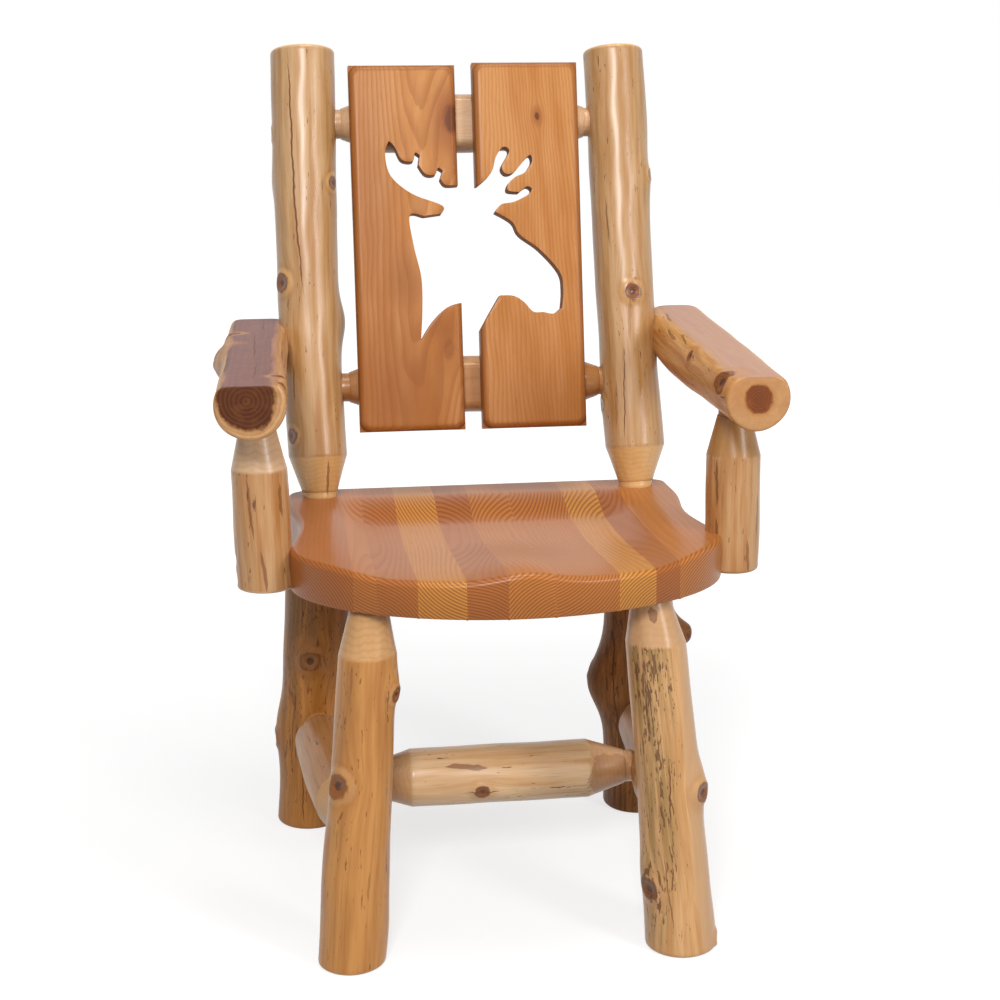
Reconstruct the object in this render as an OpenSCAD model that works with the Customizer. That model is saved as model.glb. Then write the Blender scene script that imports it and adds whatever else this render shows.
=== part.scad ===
// Rustic log armchair: peeled logs with turned tenons, a glued and scooped plank seat, and a back
// of two flat slats with the head of a moose sawn out across them. Millimetres, +Z up, front at -Y.
// Lengths across the chair are to its left (-) and right (+) as seen by someone facing its front.

/* [Seat] */
// Height of the seat's rim above the floor
seat_h = 457; // [430:1:500]
// Thickness of the seat board
seat_t = 46; // [42:1:60]
// Depth of the seat board from front to back
seat_d = 463; // [450:1:500]
// Distance from the back posts' centres to the seat's back edge
seat_back = 42; // [34:1:50]
// Widths of the glued staves, from left to right
stave_w = [66, 24, 42, 50, 43, 50, 70, 43, 30, 72]; // [24:1:90]
// How far the seat sits to the right of the back posts' middle
seat_shift = 0; // [-6:1:6]
// Depth of the curved front, from the widest place to the front edge
nose_d = 165; // [140:1:190]
// Radius of the seat's back corners
corner_r = 33; // [20:1:50]
// Depth of the hollow cut into each side of the seat
waist = 12; // [4:1:14]
// Radius of the seat's rounded top edge
seat_edge_r = 7; // [3:1:10]
// Depth of the scoop below the rim
scoop = 20; // [8:1:22]
// Width of the flat rim behind the scoop
rim_w = 56; // [40:1:70]
// Length of the slope from the rim down to the scoop's bottom
scoop_slope = 90; // [50:1:120]
// Rise of the pommel above the rim
pommel_rise = 3; // [0:1:6]

/* [Legs] */
// Distances from the seat's sides to the tops of the left and the right front leg
front_leg_side = [84, 97]; // [76:1:110]
// Distance from the seat's front edge to the tops of the front legs
front_leg_inset = 86; // [82:1:100]
// How far the left and the right front foot stand out past the leg's top
front_splay_x = [31, 34]; // [10:1:45]
// How far the left and the right front foot stand in front of the leg's top
front_splay_y = [17, 27]; // [0:1:35]
// Radii of the left and the right front leg at the foot
front_foot_r = [37, 39.5]; // [32:0.5:44]
// Radius of the front legs below the shoulder
front_top_r = 32; // [28:1:40]
// How far the left and the right rear foot stand out past the leg's top
rear_splay_x = [26, 13]; // [0:1:30]
// How far the left and the right rear foot stand behind the back posts' bases
rear_splay_y = [55, 45]; // [30:1:70]
// Radii of the left and the right rear leg
rear_leg_r = [43.5, 45]; // [38:0.5:48]
// Length of the front legs' tapered shoulder
leg_shoulder = 52; // [30:1:70]
// Radius of the front legs' tenons
leg_tenon_r = 20; // [16:1:24]
// Length of the front legs' tenons inside the seat
leg_tenon_l = 25; // [18:1:28]

/* [Stretchers] */
// Height of the stretchers' middle above the floor
stretcher_z = 153; // [120:1:200]
// Radius of the side stretchers
side_stretcher_r = 34; // [28:1:36]
// Radii of the cross stretcher at its left and its right end
cross_stretcher_r = [33.5, 36]; // [28:0.5:38]
// Distance from the back posts to the cross stretcher
cross_y = 200; // [150:1:240]
// Length of the stretchers' tapered ends
stretcher_taper = 46; // [30:1:60]
// Radius of the stretchers' tenons
stretcher_tenon_r = 19; // [14:1:22]
// Length of the stretchers' tenons inside the wood
stretcher_tenon_l = 26; // [16:1:32]

/* [Back posts] */
// Distance from the seat's sides to the middle of the back posts
post_inset = 42; // [38:1:52]
// How far each back post's top stands in past its base
post_top_in = 6; // [0:1:12]
// How far the bottoms of the back posts sit to the right
post_base_shift = -2; // [-4:0.5:4]
// How far the tops of the back posts sit to the right
post_top_shift = -10.5; // [-12:0.5:12]
// How far the tops of the back posts stand behind their bases
post_lean = 103; // [60:1:130]
// Height of the middle of the posts' tops above the seat
post_h = 548; // [500:1:600]
// Radii of the left and the right back post at the seat
post_base_r = [36.5, 36.5]; // [34:0.5:42]
// Radii of the left and the right back post at the top
post_top_r = [39.5, 37.5]; // [34:0.5:43]
// Length of the posts' tapered lower end
post_taper = 46; // [30:1:70]
// Radius of the posts' tenons
post_tenon_r = 21; // [17:1:22]
// Depth that the posts' tenons reach into the rear legs
post_tenon_l = 38; // [25:1:60]

/* [Back] */
// Distance up the back from the seat to the lower rail
lower_rail_w = 136; // [115:1:170]
// Distance up the back from the seat to the upper rail
upper_rail_w = 467; // [430:1:485]
// Radius of the back rails
rail_r = 36; // [31:1:38]
// Radius of the rails' tenons
rail_tenon_r = 18; // [14:1:22]
// Length of the rails' tenons inside the posts
rail_tenon_l = 28; // [18:1:34]
// Length of the rails' tapered ends
rail_taper = 48; // [30:1:60]
// Distance from a rail's middle to its flat front
rail_flat = 26; // [24:1:30]
// How far the rails sit behind the middle of the posts
rail_back = 8; // [0:1:10]
// Width of each back slat
slat_w = 132; // [124:1:135]
// Lengths of the left and the right back slat
slat_l = [453, 456]; // [430:1:480]
// Thickness of the back slats
slat_t = 24; // [16:1:30]
// Gap between the two slats
slat_gap = 22; // [14:1:30]
// Distance up the back from the seat to the slats' lower ends
slat_start = 78; // [60:1:95]
// How far the slats sit to the right of the back posts' middle
slat_shift = -10; // [-12:1:5]

/* [Arms] */
// Heights of the left and the right arm's flat top above the seat at the front
arm_front_h = [199, 194]; // [185:1:215]
// Heights of the left and the right arm's flat top above the seat at the back
arm_rear_h = [217, 223]; // [200:1:235]
// How far the arms reach in front of the arm posts
arm_overhang = 113; // [80:1:140]
// How far the arms reach behind the middle of the back posts
arm_tail = 33; // [25:1:50]
// How far the left and the right arm's front end stands out past its arm post
arm_splay = [7, -4]; // [-10:1:10]
// Radii of the left and the right arm log at the front
arm_front_r = [37, 35.5]; // [30:0.5:38]
// Radii of the left and the right arm log at the back
arm_rear_r = [37, 40]; // [30:0.5:42]
// Depth of the flat cut along the top of each arm log
arm_flat = [16, 10.5]; // [6:0.5:18]
// Depth of the seat that each arm and post are cut for where they meet
arm_bite = 3; // [2:0.5:6]
// Radius of the arm posts
arm_post_r = 31; // [28:1:34]
// How far the middle of the left and the right arm post stands out from the seat's side
arm_post_out = [27, 16]; // [14:1:28]
// How far the tops of the left and the right arm post stand to the right of their bases
arm_post_tilt = [-4, 0]; // [-5:0.5:5]
// Distance from the seat's front edge to the arm posts
arm_post_inset = 169; // [160:1:185]
// Lengths of the left and the right arm post's tapered upper end
arm_post_taper = [52, 46]; // [20:1:60]
// Radius of the arm posts' tenons
arm_tenon_r = 18; // [15:1:21]
// Length of the arm posts' tenons inside the arms
arm_tenon_l = 24; // [16:1:28]

/* [Screws and fits] */
// Radius of the slat screws' shanks
screw_r = 2.2; // [1.8:0.1:3]
// Radius of the slat screws' heads
screw_head_r = 4.4; // [3.5:0.1:6]
// Depth that the slat screws reach into the slats
screw_bite = 16; // [8:1:18]
// Distance from a slat's middle to each of its screws
screw_spread = 38; // [20:1:45]
// Radius of the lag screws' shanks
lag_r = 4; // [3:0.5:5]
// Radius of the lag screws' heads
lag_head_r = 9; // [7:0.5:11]
// Thickness of the lag screws' heads
lag_head_t = 6; // [4:0.5:8]
// Depth that the lag screws reach past the joint
lag_bite = 40; // [25:1:45]
// Half the distance between the two lag screws of a joint
lag_spread = 11; // [10:0.5:12]
// Depth of wood left over the lag screws' heads
lag_sink = 5; // [2:0.5:8]
// Clearance around tenons, screws and seats
fit = 0.15; // [0.1:0.05:0.4]
// Clearance at the end of a tenon or screw
end_gap = 1; // [0.5:0.5:3]

/* [Hidden] */

left = -1;
right = 1;
function pick(pair, s) = s == left ? pair[0] : pair[1];
sides = 20;          // sides of a log's rings
rings = 14;          // rings along a log between its shaped ends
log_edge = 5;        // rounding of a log's sawn ends
neck = 5;            // bare tenon between a taper and the wood that it enters
far = 400;           // reach of a cutting block past the wood
nose_power = 1.95;   // 2 is an ellipse, and more is a squarer front
round_fn = 48;       // sides of a drawn circle
screw_fn = 24;       // sides of a drawn screw
waist_fn = 180;      // sides of the drum that cuts the waist
outside = 20;        // how far outside the wood a bore starts
taper_step = 1;      // step from a tenon up to the tip of its taper
small_edge = 4;      // rounding of the arms' ends and of the ends that are hidden or low down
waist_half = 105;    // half the length of the hollow in each side of the seat
seat_margin = 8;     // how far the flat seats of the arms reach past the posts
arm_screw_drop = 3;  // how far the arms' screws sit below the arms' middles
arm_screw_in = 4;    // extra depth of the arms' screw heads, for the arms' rounded sides
screw_head_t = 3;    // thickness of the slat screws' heads
counterbore = 24;    // depth of the slat screws' counterbores in the rails
moose_shift = 2;     // how far the moose sits to the right of the slats' middle

// The scoop's form, as shares of the seat's half width and of its depth
scoop_flat = 0.55;   // half width over which the scoop keeps its depth
scoop_side = 0.29;   // width over which it rises to the rim
valley_reach = 0.53; // depth over which the hollows for the thighs rise towards the front
valley_rise = 0.7;   // how much of the scoop's depth they lose there
saddle_start = 0.55; // depth at which the ridge between them starts
saddle_reach = 0.51; // depth over which it rises to the pommel
pommel_half = 0.18;  // half width of the ridge

seat_w = sum(stave_w);
seat_bottom = seat_h - seat_t;
seat_front = seat_back - seat_d;
seat_side = seat_w / 2;
post_base_x = seat_side - post_inset;
post_top_x = post_base_x - post_top_in;
post_top_z = seat_h + post_h;
arm_post_y = seat_front + arm_post_inset;
stave_edge = [for (i = [0 : len(stave_w)]) seat_shift - seat_w / 2 + sum([for (j = [0 : 1 : i - 1]) stave_w[j]])];

// Points on the chair's axes
function post_base(s) = [s * post_base_x + post_base_shift, 0, seat_h];
function post_top(s) = [s * post_top_x + post_top_shift, post_lean, post_top_z];
function post_share(z) = (z - seat_h) / (post_top_z - seat_h);
function post_at(s, z) = mix(post_base(s), post_top(s), post_share(z));
function post_radius(s, z) = mix(pick(post_base_r, s), pick(post_top_r, s), post_share(z));
function front_top(s) =
    [seat_shift + s * (seat_side - pick(front_leg_side, s)), seat_front + front_leg_inset, seat_bottom];
function front_foot(s) =
    let (p = front_top(s)) [p.x + s * pick(front_splay_x, s), p.y - pick(front_splay_y, s), 0];
function front_at(s, z) = mix(front_foot(s), front_top(s), z / seat_bottom);
function rear_top(s) = let (p = post_at(s, seat_bottom)) [p.x, p.y, seat_bottom];
function rear_foot(s) = [rear_top(s).x + s * pick(rear_splay_x, s), pick(rear_splay_y, s), 0];
function rear_at(s, z) = mix(rear_foot(s), rear_top(s), z / seat_bottom);
function side_at(s, y) = let (a = front_at(s, stretcher_z), b = rear_at(s, stretcher_z))
    mix(a, b, (y - a.y) / (b.y - a.y));

lean = atan2(post_lean, post_top_z - seat_h);
// A point on the back: across, up the back from the seat, and in front of the posts' middle
function on_back(x, w, forward) =
    [x, w * sin(lean) - forward * cos(lean), seat_h + w * cos(lean) + forward * sin(lean)];
function rail_end(s, w) = let (z = seat_h + w * cos(lean), p = post_at(s, z)) on_back(p.x, w, -rail_back);

function arm_front_z(s) = seat_h + pick(arm_front_h, s);
function arm_rear_z(s) = seat_h + pick(arm_rear_h, s);
function arm_mid_z(s) = (arm_front_z(s) + arm_rear_z(s)) / 2;
function arm_drop(s, radii) = pick(radii, s) - pick(arm_flat, s);
// The upright plane where an arm and its back post are cut flat against each other
function arm_seat_x(s) = let (z = arm_mid_z(s)) post_at(s, z).x + s * (post_radius(s, z) - arm_bite);
arm_front_y = arm_post_y - arm_overhang;
function arm_rear_y(s) = post_at(s, arm_rear_z(s)).y + arm_tail;
function arm_front(s) = [
    arm_post_base(s).x + s * pick(arm_splay, s),
    arm_front_y,
    arm_front_z(s) - arm_drop(s, arm_front_r)
];
function arm_rear(s) = [
    arm_seat_x(s) + s * (pick(arm_rear_r, s) - arm_bite),
    arm_rear_y(s),
    arm_rear_z(s) - arm_drop(s, arm_rear_r)
];
function arm_share(s, y) = (y - arm_front_y) / (arm_rear_y(s) - arm_front_y);
function arm_at(s, y) = mix(arm_front(s), arm_rear(s), arm_share(s, y));
function arm_radius(s, y) = mix(pick(arm_front_r, s), pick(arm_rear_r, s), arm_share(s, y));
function arm_rise(s) = atan2(arm_rear_z(s) - arm_front_z(s), arm_rear_y(s) - arm_front_y);
function arm_post_base(s) =
    [seat_shift + s * (seat_side + pick(arm_post_out, s)), arm_post_y, seat_bottom];
function arm_post_top(s) =
    let (p = arm_post_base(s)) [p.x + pick(arm_post_tilt, s), p.y, arm_at(s, p.y).z];

// Knots and swellings of each log: distance from the log's first end, angle round it, height,
// half length and half width in degrees. Upright logs count angles from the chair's right and
// have their front at -90. Level logs count from the top.
knots_post_left = [[389, 148, 5, 26, 26], [215, 12, 7, 28, 34], [215, 170, 2, 60, 50], [24, 120, 3, 16, 30]];
knots_post_right = [[385, -28, 4, 24, 24], [45, 0, 4, 70, 50], [470, 10, 3, 60, 40], [100, 200, 3, 45, 40]];
knots_front_left = [[194, 215, 5, 26, 26], [320, -20, 5, 22, 26], [40, 20, 3, 40, 50], [110, 190, 3, 50, 50]];
knots_front_right = [[195, -20, 6, 26, 30], [90, 190, 3, 30, 30], [20, -10, 2, 40, 50]];
knots_rear_left = [[140, 180, 7, 42, 44], [255, -100, 3, 30, 30]];
knots_rear_right = [[188, 182, 24, 48, 40], [258, -15, 28, 22, 24]];
knots_side_left = [[60, 180, 5, 50, 50]];
knots_side_right = [[200, 160, 3, 40, 50]];
knots_cross = [[150, 110, 2, 30, 30]];
knots_arm_left = [[262, -80, 16, 70, 32], [45, 60, 3, 16, 26]];
knots_arm_right = [[60, -70, 4, 34, 30], [300, -130, 7, 140, 45]];
seed_arm_left = 120;
seed_arm_right = 300;
knots_arm_post_left = [[60, 200, 1.5, 60, 50]];
knots_arm_post_right = [[60, 20, 1.5, 60, 50]];
knots_rail_upper = [[160, 150, 1.5, 40, 40]];
knots_rail_lower = [[230, 120, 1.5, 40, 40]];

// The chair's origin is on the floor under the middle of its box
function arm_reach(s, knots, seed) =
    let (a = arm_front(s), b = arm_rear(s), length = norm(b - a))
    [for (t = [0 : length / 60 : length]) mix(a, b, t / length).x
        + s * log_radius(t, s * 90, length, arm_ends(s), arm_cut(s, arm_front_r), arm_cut(s, arm_rear_r), knots, seed)];
widest_left = min(arm_reach(left, knots_arm_left, seed_arm_left));
widest_right = max(arm_reach(right, knots_arm_right, seed_arm_right));
rearmost = post_lean - log_edge * sin(lean) + post_top_r[0] * cos(lean);
origin = [(widest_left + widest_right) / 2, (seat_front + rearmost) / 2, 0];

// Sums, blends and steps
function sum(v, i = 0) = i < len(v) ? v[i] + sum(v, i + 1) : 0;
function mix(a, b, t) = a + (b - a) * t;
function clamp(t) = min(1, max(0, t));
function ease(t) = let (c = clamp(t)) c * c * (3 - 2 * c);
function turn(a, b) = (a - b + 900) % 360 - 180;
function unit(v) = v / norm(v);

// Peeled logs
// A shaped end is [length, radius at the tip, true if it is rounded and false if it is a cone].
function end_reach(s, end) =
    let (t = clamp(s / end[0])) end[2] ? sqrt(1 - (1 - t) * (1 - t)) : t;
function knot_rise(s, a, knots) =
    sum([for (k = knots) k[2] * exp(-pow((s - k[0]) / k[3], 2) - pow(turn(a, k[1]) / k[4], 2))]);
function waviness(s, a, seed) = 0.012 * sin(0.8 * s + seed) + 0.01 * cos(2 * a + 0.5 * s + 2 * seed);
function end_rings(end) = [for (t = end[2] ? [0, 0.12, 0.45, 1] : [0, 0.5, 1]) t * end[0]];
function ring_places(length, end_a, end_b) = concat(
    end_rings(end_a),
    [for (i = [1 : rings - 1]) mix(end_a[0], length - end_b[0], i / rings)],
    [for (t = [len(end_rings(end_b)) - 1 : -1 : 0]) length - end_rings(end_b)[t]]);
function log_radius(s, a, length, r, end_a, end_b, knots, seed) =
    let (
        ka = end_reach(s, end_a),
        kb = end_reach(length - s, end_b),
        body = mix(r[0], r[1], s / length) * (1 + waviness(s, a, seed)) + knot_rise(s, a, knots)
    )
    ka < 1 ? mix(end_a[1], body, ka) : kb < 1 ? mix(end_b[1], body, kb) : body;

// A log from one point to another. Its rings are square to its axis, or level where it stands.
module log_skin(a, b, r, end_a, end_b, knots, seed, bow = [0, 0], standing = false) {
    length = norm(b - a);
    way = unit(b - a);
    ref = abs(way.z) > 0.7 ? [1, 0, 0] : [0, 0, 1];
    u = standing ? [1, 0, 0] : unit(ref - way * (ref * way));
    v = standing ? [0, 1, 0] : cross(way, u);
    places = ring_places(length, end_a, end_b);
    count = len(places);
    points = [
        for (s = places, j = [0 : sides - 1])
            let (
                angle = j * 360 / sides,
                radius = log_radius(s, angle, length, r, end_a, end_b, knots, seed),
                sway = sin(180 * s / length)
            )
            a + way * s + u * (radius * cos(angle) + bow[0] * sway) + v * (radius * sin(angle) + bow[1] * sway)
    ];
    walls = [
        for (i = [0 : count - 2], j = [0 : sides - 1], half = [0, 1])
            let (k = (j + 1) % sides, low = i * sides, high = (i + 1) * sides)
            half == 0 ? [low + j, high + j, high + k] : [low + j, high + k, low + k]
    ];
    first = [for (j = [0 : sides - 1]) j];
    last = [for (j = [sides - 1 : -1 : 0]) (count - 1) * sides + j];
    polyhedron(points, concat([first], walls, [last]), convexity = 4);
}

// Draws its children with +Z pointing from a to b
module along(a, b) {
    d = b - a;
    translate(a) rotate([0, acos(d.z / norm(d)), atan2(d.y, d.x)]) children();
}

// A round rod from a to b, or a bore when it is cut away
module rod(a, b, r) {
    along(a, b) cylinder(h = norm(b - a), r = r, $fn = round_fn);
}

function cone(length, r) = [length, r, false];
function sawn(r, edge = log_edge) = [edge, r - edge, true];

// Seat board
function nose_y(x) =
    let (t = clamp(abs(x - seat_shift) / seat_side))
    seat_front + nose_d * (1 - pow(1 - pow(t, nose_power), 1 / nose_power));
function rear_y(x) =
    let (e = max(0, abs(x - seat_shift) - seat_side + corner_r))
    seat_back - corner_r + sqrt(max(0, corner_r * corner_r - e * e));
// Height of the seat's top, without its rounded edge
function scoop_z(x, y) =
    let (
        off = abs(x - seat_shift),
        wall = ease((seat_back - rim_w - y) / scoop_slope),
        across = 1 - ease((off / seat_side - scoop_flat) / scoop_side),
        depth = (y - seat_front) / seat_d,
        valley = 1 - valley_rise * ease((valley_reach - depth) / valley_reach),
        saddle = 1 - (1 + pommel_rise / scoop) * ease((saddle_start - depth) / saddle_reach),
        middle = exp(-pow(off / (pommel_half * seat_side), 2))
    )
    seat_h - scoop * wall * across * mix(valley, saddle, middle);
function edge_drop(e) = e >= seat_edge_r ? 0 : seat_edge_r - sqrt(seat_edge_r * seat_edge_r - pow(seat_edge_r - e, 2));
edge_steps = [0, 0.12 * seat_edge_r, 0.45 * seat_edge_r, seat_edge_r];
row_steps = [0.07, 0.15, 0.25, 0.36, 0.48, 0.6, 0.7, 0.78, 0.84, 0.9, 0.95];
function stave_rows(x) = let (f = nose_y(x), b = rear_y(x)) concat(
    [for (e = edge_steps) f + e],
    [for (t = row_steps) mix(f + seat_edge_r, b - seat_edge_r, t)],
    [for (k = [3 : -1 : 0]) b - edge_steps[k]]);
// Lines across a stave, closer where the seat's outline turns
function stave_columns(x0, x1) =
    let (
        limit_l = stave_edge[0],
        limit_r = stave_edge[len(stave_w)],
        inner = [for (i = [0 : 4]) mix(x0, x1, i / 4)],
        edge_l = [for (e = edge_steps) limit_l + e],
        edge_r = [for (k = [3 : -1 : 0]) limit_r - edge_steps[k]],
        body_l = [for (t = [0.2, 0.42, 0.68, 1]) mix(limit_l + seat_edge_r, x1, t)],
        body_r = [for (t = [0, 0.32, 0.58, 0.8]) mix(x0, limit_r - seat_edge_r, t)]
    )
    x0 == limit_l ? concat(edge_l, body_l) : x1 == limit_r ? concat(body_r, edge_r) : inner;
function seat_top(x, y) =
    scoop_z(x, y) - edge_drop(min(
        seat_side - abs(x - seat_shift), y - nose_y(x), rear_y(x) - y));
function seat_columns() =
    [for (i = [0 : len(stave_w) - 1], x = stave_columns(stave_edge[i], stave_edge[i + 1])) x];

// The seat's outline seen from above, grown sideways by a clearance
module seat_outline(grow) {
    xs = seat_columns();
    function out(x) = x + (x - seat_shift) / seat_side * grow;
    polygon(concat(
        [for (x = xs) [out(x), nose_y(x) - grow]],
        [for (k = [len(xs) - 1 : -1 : 0]) [out(xs[k]), rear_y(xs[k]) + grow]]));
}

module stave_block(x0, x1) {
    xs = stave_columns(x0, x1);
    m = len(xs) - 1;
    rows = len(stave_rows(x0));
    top_points = [for (x = xs, y = stave_rows(x)) [x, y, seat_top(x, y)]];
    under = [for (x = xs, y = [nose_y(x), rear_y(x)]) [x, y, seat_bottom]];
    function t(i, j) = i * rows + j;
    function b(i, j) = len(top_points) + 2 * i + j;
    top = [
        for (i = [0 : m - 1], j = [0 : rows - 2], half = [0, 1])
            half == 0 ? [t(i, j), t(i, j + 1), t(i + 1, j + 1)] : [t(i, j), t(i + 1, j + 1), t(i + 1, j)]
    ];
    front = [for (i = [0 : m - 1]) [b(i, 0), t(i, 0), t(i + 1, 0), b(i + 1, 0)]];
    back = [for (i = [0 : m - 1]) [b(i + 1, 1), t(i + 1, rows - 1), t(i, rows - 1), b(i, 1)]];
    side_l = concat([b(0, 1)], [for (j = [rows - 1 : -1 : 0]) t(0, j)], [b(0, 0)]);
    side_r = concat([b(m, 1), b(m, 0)], [for (j = [0 : rows - 1]) t(m, j)]);
    base = concat([for (i = [0 : m]) b(i, 0)], [for (i = [m : -1 : 0]) b(i, 1)]);
    polyhedron(concat(top_points, under), concat(top, front, back, [side_l, side_r, base]), convexity = 6);
}

// The shallow hollow in one side of the seat, a drum that cuts into it
module waist_cut(s) {
    drum_r = (waist_half * waist_half + waist * waist) / (2 * waist);
    translate([seat_shift + s * (seat_side - waist + drum_r), seat_front + nose_d + waist_half, seat_bottom - far / 4])
        cylinder(h = far / 2, r = drum_r, $fn = waist_fn);
}

module seat_bores() {
    for (s = [left, right]) {
        rod(post_at(s, seat_bottom - outside), post_at(s, seat_h + outside), post_tenon_r + fit);
        rod(front_at(s, seat_bottom - outside), front_tenon_tip(s, end_gap), leg_tenon_r + fit);
        for (k = [left, right])
            rod(arm_screw_point(s, k, -outside), arm_screw_point(s, k, lag_bite + end_gap), lag_r + fit);
    }
}

module seat_stave(i) {
    color(i % 3 == 0 ? "peru" : i % 3 == 1 ? "sandybrown" : "burlywood")
    difference() {
        stave_block(stave_edge[i - 1], stave_edge[i]);
        if (i == 1) waist_cut(left);
        if (i == len(stave_w)) waist_cut(right);
        seat_bores();
    }
}

// Legs
function front_tenon_tip(s, more = 0) = front_at(s, seat_bottom + leg_tenon_l + more);
function post_tenon_tip(s, more = 0) = post_at(s, seat_bottom - post_tenon_l - more);

module leg_front(s, knots, seed, bow) {
    foot_r = pick(front_foot_r, s);
    shoulder = front_at(s, seat_bottom - neck);
    color("burlywood")
    difference() {
        union() {
            log_skin(front_foot(s), shoulder, [foot_r, front_top_r], sawn(foot_r),
                cone(leg_shoulder, leg_tenon_r + taper_step), knots, seed, bow, true);
            rod(front_at(s, seat_bottom - leg_shoulder), front_tenon_tip(s), leg_tenon_r);
        }
        side_bore(s, left);
    }
}

module leg_rear(s, knots, seed, bow) {
    r = pick(rear_leg_r, s);
    color("tan")
    difference() {
        log_skin(rear_foot(s), rear_top(s), [r, r], sawn(r), sawn(r, small_edge), knots, seed, bow, true);
        rod(post_at(s, seat_bottom + outside), post_tenon_tip(s, end_gap), post_tenon_r + fit);
        side_bore(s, right);
    }
}

// Stretchers. end is left for the end at the front leg and right for the end at the rear leg.
function side_face(s, end) = end == left
    ? side_at(s, front_at(s, stretcher_z).y + pick(front_foot_r, s))
    : side_at(s, rear_at(s, stretcher_z).y - pick(rear_leg_r, s));
function side_way(s) = unit(side_at(s, 0) - side_at(s, -100));
function side_tenon_tip(s, end, more = 0) = side_face(s, end) + end * side_way(s) * (stretcher_tenon_l + more);
// The mortise for a side stretcher's tenon, open towards the stretcher
module side_bore(s, end) {
    rod(side_face(s, end) - end * side_way(s) * outside, side_tenon_tip(s, end, end_gap), stretcher_tenon_r + fit);
}
function cross_face(s) = let (p = side_at(s, -cross_y)) [p.x - s * side_stretcher_r, -cross_y, stretcher_z];
function cross_tenon_tip(s, more = 0) = cross_face(s) + [s * (stretcher_tenon_l + more), 0, 0];

module side_stretcher(s, knots, seed, bow) {
    a = side_face(s, left) + side_way(s) * neck;
    b = side_face(s, right) - side_way(s) * neck;
    color("navajowhite")
    difference() {
        union() {
            log_skin(a, b, [side_stretcher_r, side_stretcher_r], cone(stretcher_taper, stretcher_tenon_r + taper_step),
                cone(stretcher_taper, stretcher_tenon_r + taper_step), knots, seed, bow);
            rod(side_tenon_tip(s, left), side_tenon_tip(s, right), stretcher_tenon_r);
        }
        rod(cross_face(s) - [s * outside, 0, 0], cross_tenon_tip(s, end_gap), stretcher_tenon_r + fit);
    }
}

module cross_stretcher() {
    a = cross_face(left) + [neck, 0, 0];
    b = cross_face(right) - [neck, 0, 0];
    color("navajowhite")
    union() {
        log_skin(a, b, cross_stretcher_r, cone(stretcher_taper, stretcher_tenon_r + taper_step),
            cone(stretcher_taper, stretcher_tenon_r + taper_step), knots_cross, 40);
        rod(cross_tenon_tip(left), cross_tenon_tip(right), stretcher_tenon_r);
    }
}

// Back posts and rails
function post_way(s) = unit(post_top(s) - post_base(s));

// The wood cut away from a post (outward) or an arm (inward) for the flat seat between them
module arm_seat_block(s, outward) {
    x = arm_seat_x(s);
    y = post_at(s, arm_mid_z(s)).y;
    wide = 2 * (post_radius(s, arm_mid_z(s)) + seat_margin);
    tall = 2 * arm_radius(s, y);
    translate([(s * outward > 0 ? x : x - far), y - wide / 2, arm_at(s, y).z - tall / 2])
        cube([far, wide, tall]);
}

module back_post(s, knots, seed, bow) {
    r = pick(post_top_r, s);
    color("burlywood")
    difference() {
        union() {
            log_skin(post_base(s) + post_way(s) * neck, post_top(s), [pick(post_base_r, s), r],
                cone(post_taper, post_tenon_r + taper_step), sawn(r), knots, seed, bow);
            rod(post_tenon_tip(s), post_base(s) + post_way(s) * post_taper, post_tenon_r);
        }
        for (w = [lower_rail_w, upper_rail_w])
            rod(rail_end(-s, w), rail_tenon_tip(s, w, end_gap), rail_tenon_r + fit);
        arm_seat_block(s, 1);
        for (k = [left, right])
            rod(armrest_screw_point(s, k, -outside), armrest_screw_point(s, k, lag_bite + end_gap), lag_r + fit);
    }
}

function rail_face(s, w) = let (p = rail_end(s, w), q = rail_end(-s, w)) p + unit(q - p) * post_radius(s, p.z);
function rail_tenon_tip(s, w, more = 0) = let (p = rail_face(s, w), q = rail_face(-s, w))
    p + unit(p - q) * (rail_tenon_l + more);

module back_rail(w, knots, seed) {
    a = rail_face(left, w) + [neck, 0, 0];
    b = rail_face(right, w) - [neck, 0, 0];
    color("wheat")
    difference() {
        union() {
            log_skin(a, b, [rail_r, rail_r], cone(rail_taper, rail_tenon_r + taper_step),
                cone(rail_taper, rail_tenon_r + taper_step), knots, seed);
            rod(rail_tenon_tip(left, w), rail_tenon_tip(right, w), rail_tenon_r);
        }
        on_back_frame()
            translate([-far, w - far / 2, rail_flat - rail_back]) cube([2 * far, far, far]);
        for (s = [left, right], k = [left, right]) slat_screw_bore(s, w, k);
    }
}

// Turns its children so that x runs across, y up the back and z out of its front
module on_back_frame() {
    translate([0, 0, seat_h]) rotate([90 - lean, 0, 0]) children();
}

function slat_x(s) = slat_shift + s * (slat_gap + slat_w) / 2;
slat_rear = rail_flat - rail_back;

// One slat screw in the back's frame, from its head behind the rail to its tip in the slat
module slat_screw_rods(s, w, k, grow, more) {
    x = slat_x(s) + k * screw_spread;
    head_z = -rail_back - rail_r + counterbore;
    translate([x, w, head_z]) {
        cylinder(h = slat_rear + screw_bite + more - head_z, r = screw_r + grow, $fn = screw_fn);
        head = more > 0 ? counterbore + outside : screw_head_t;
        translate([0, 0, -head]) cylinder(h = head, r = screw_head_r + grow, $fn = screw_fn);
    }
}

module slat_screw_bore(s, w, k) {
    on_back_frame() slat_screw_rods(s, w, k, fit, end_gap);
}

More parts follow.
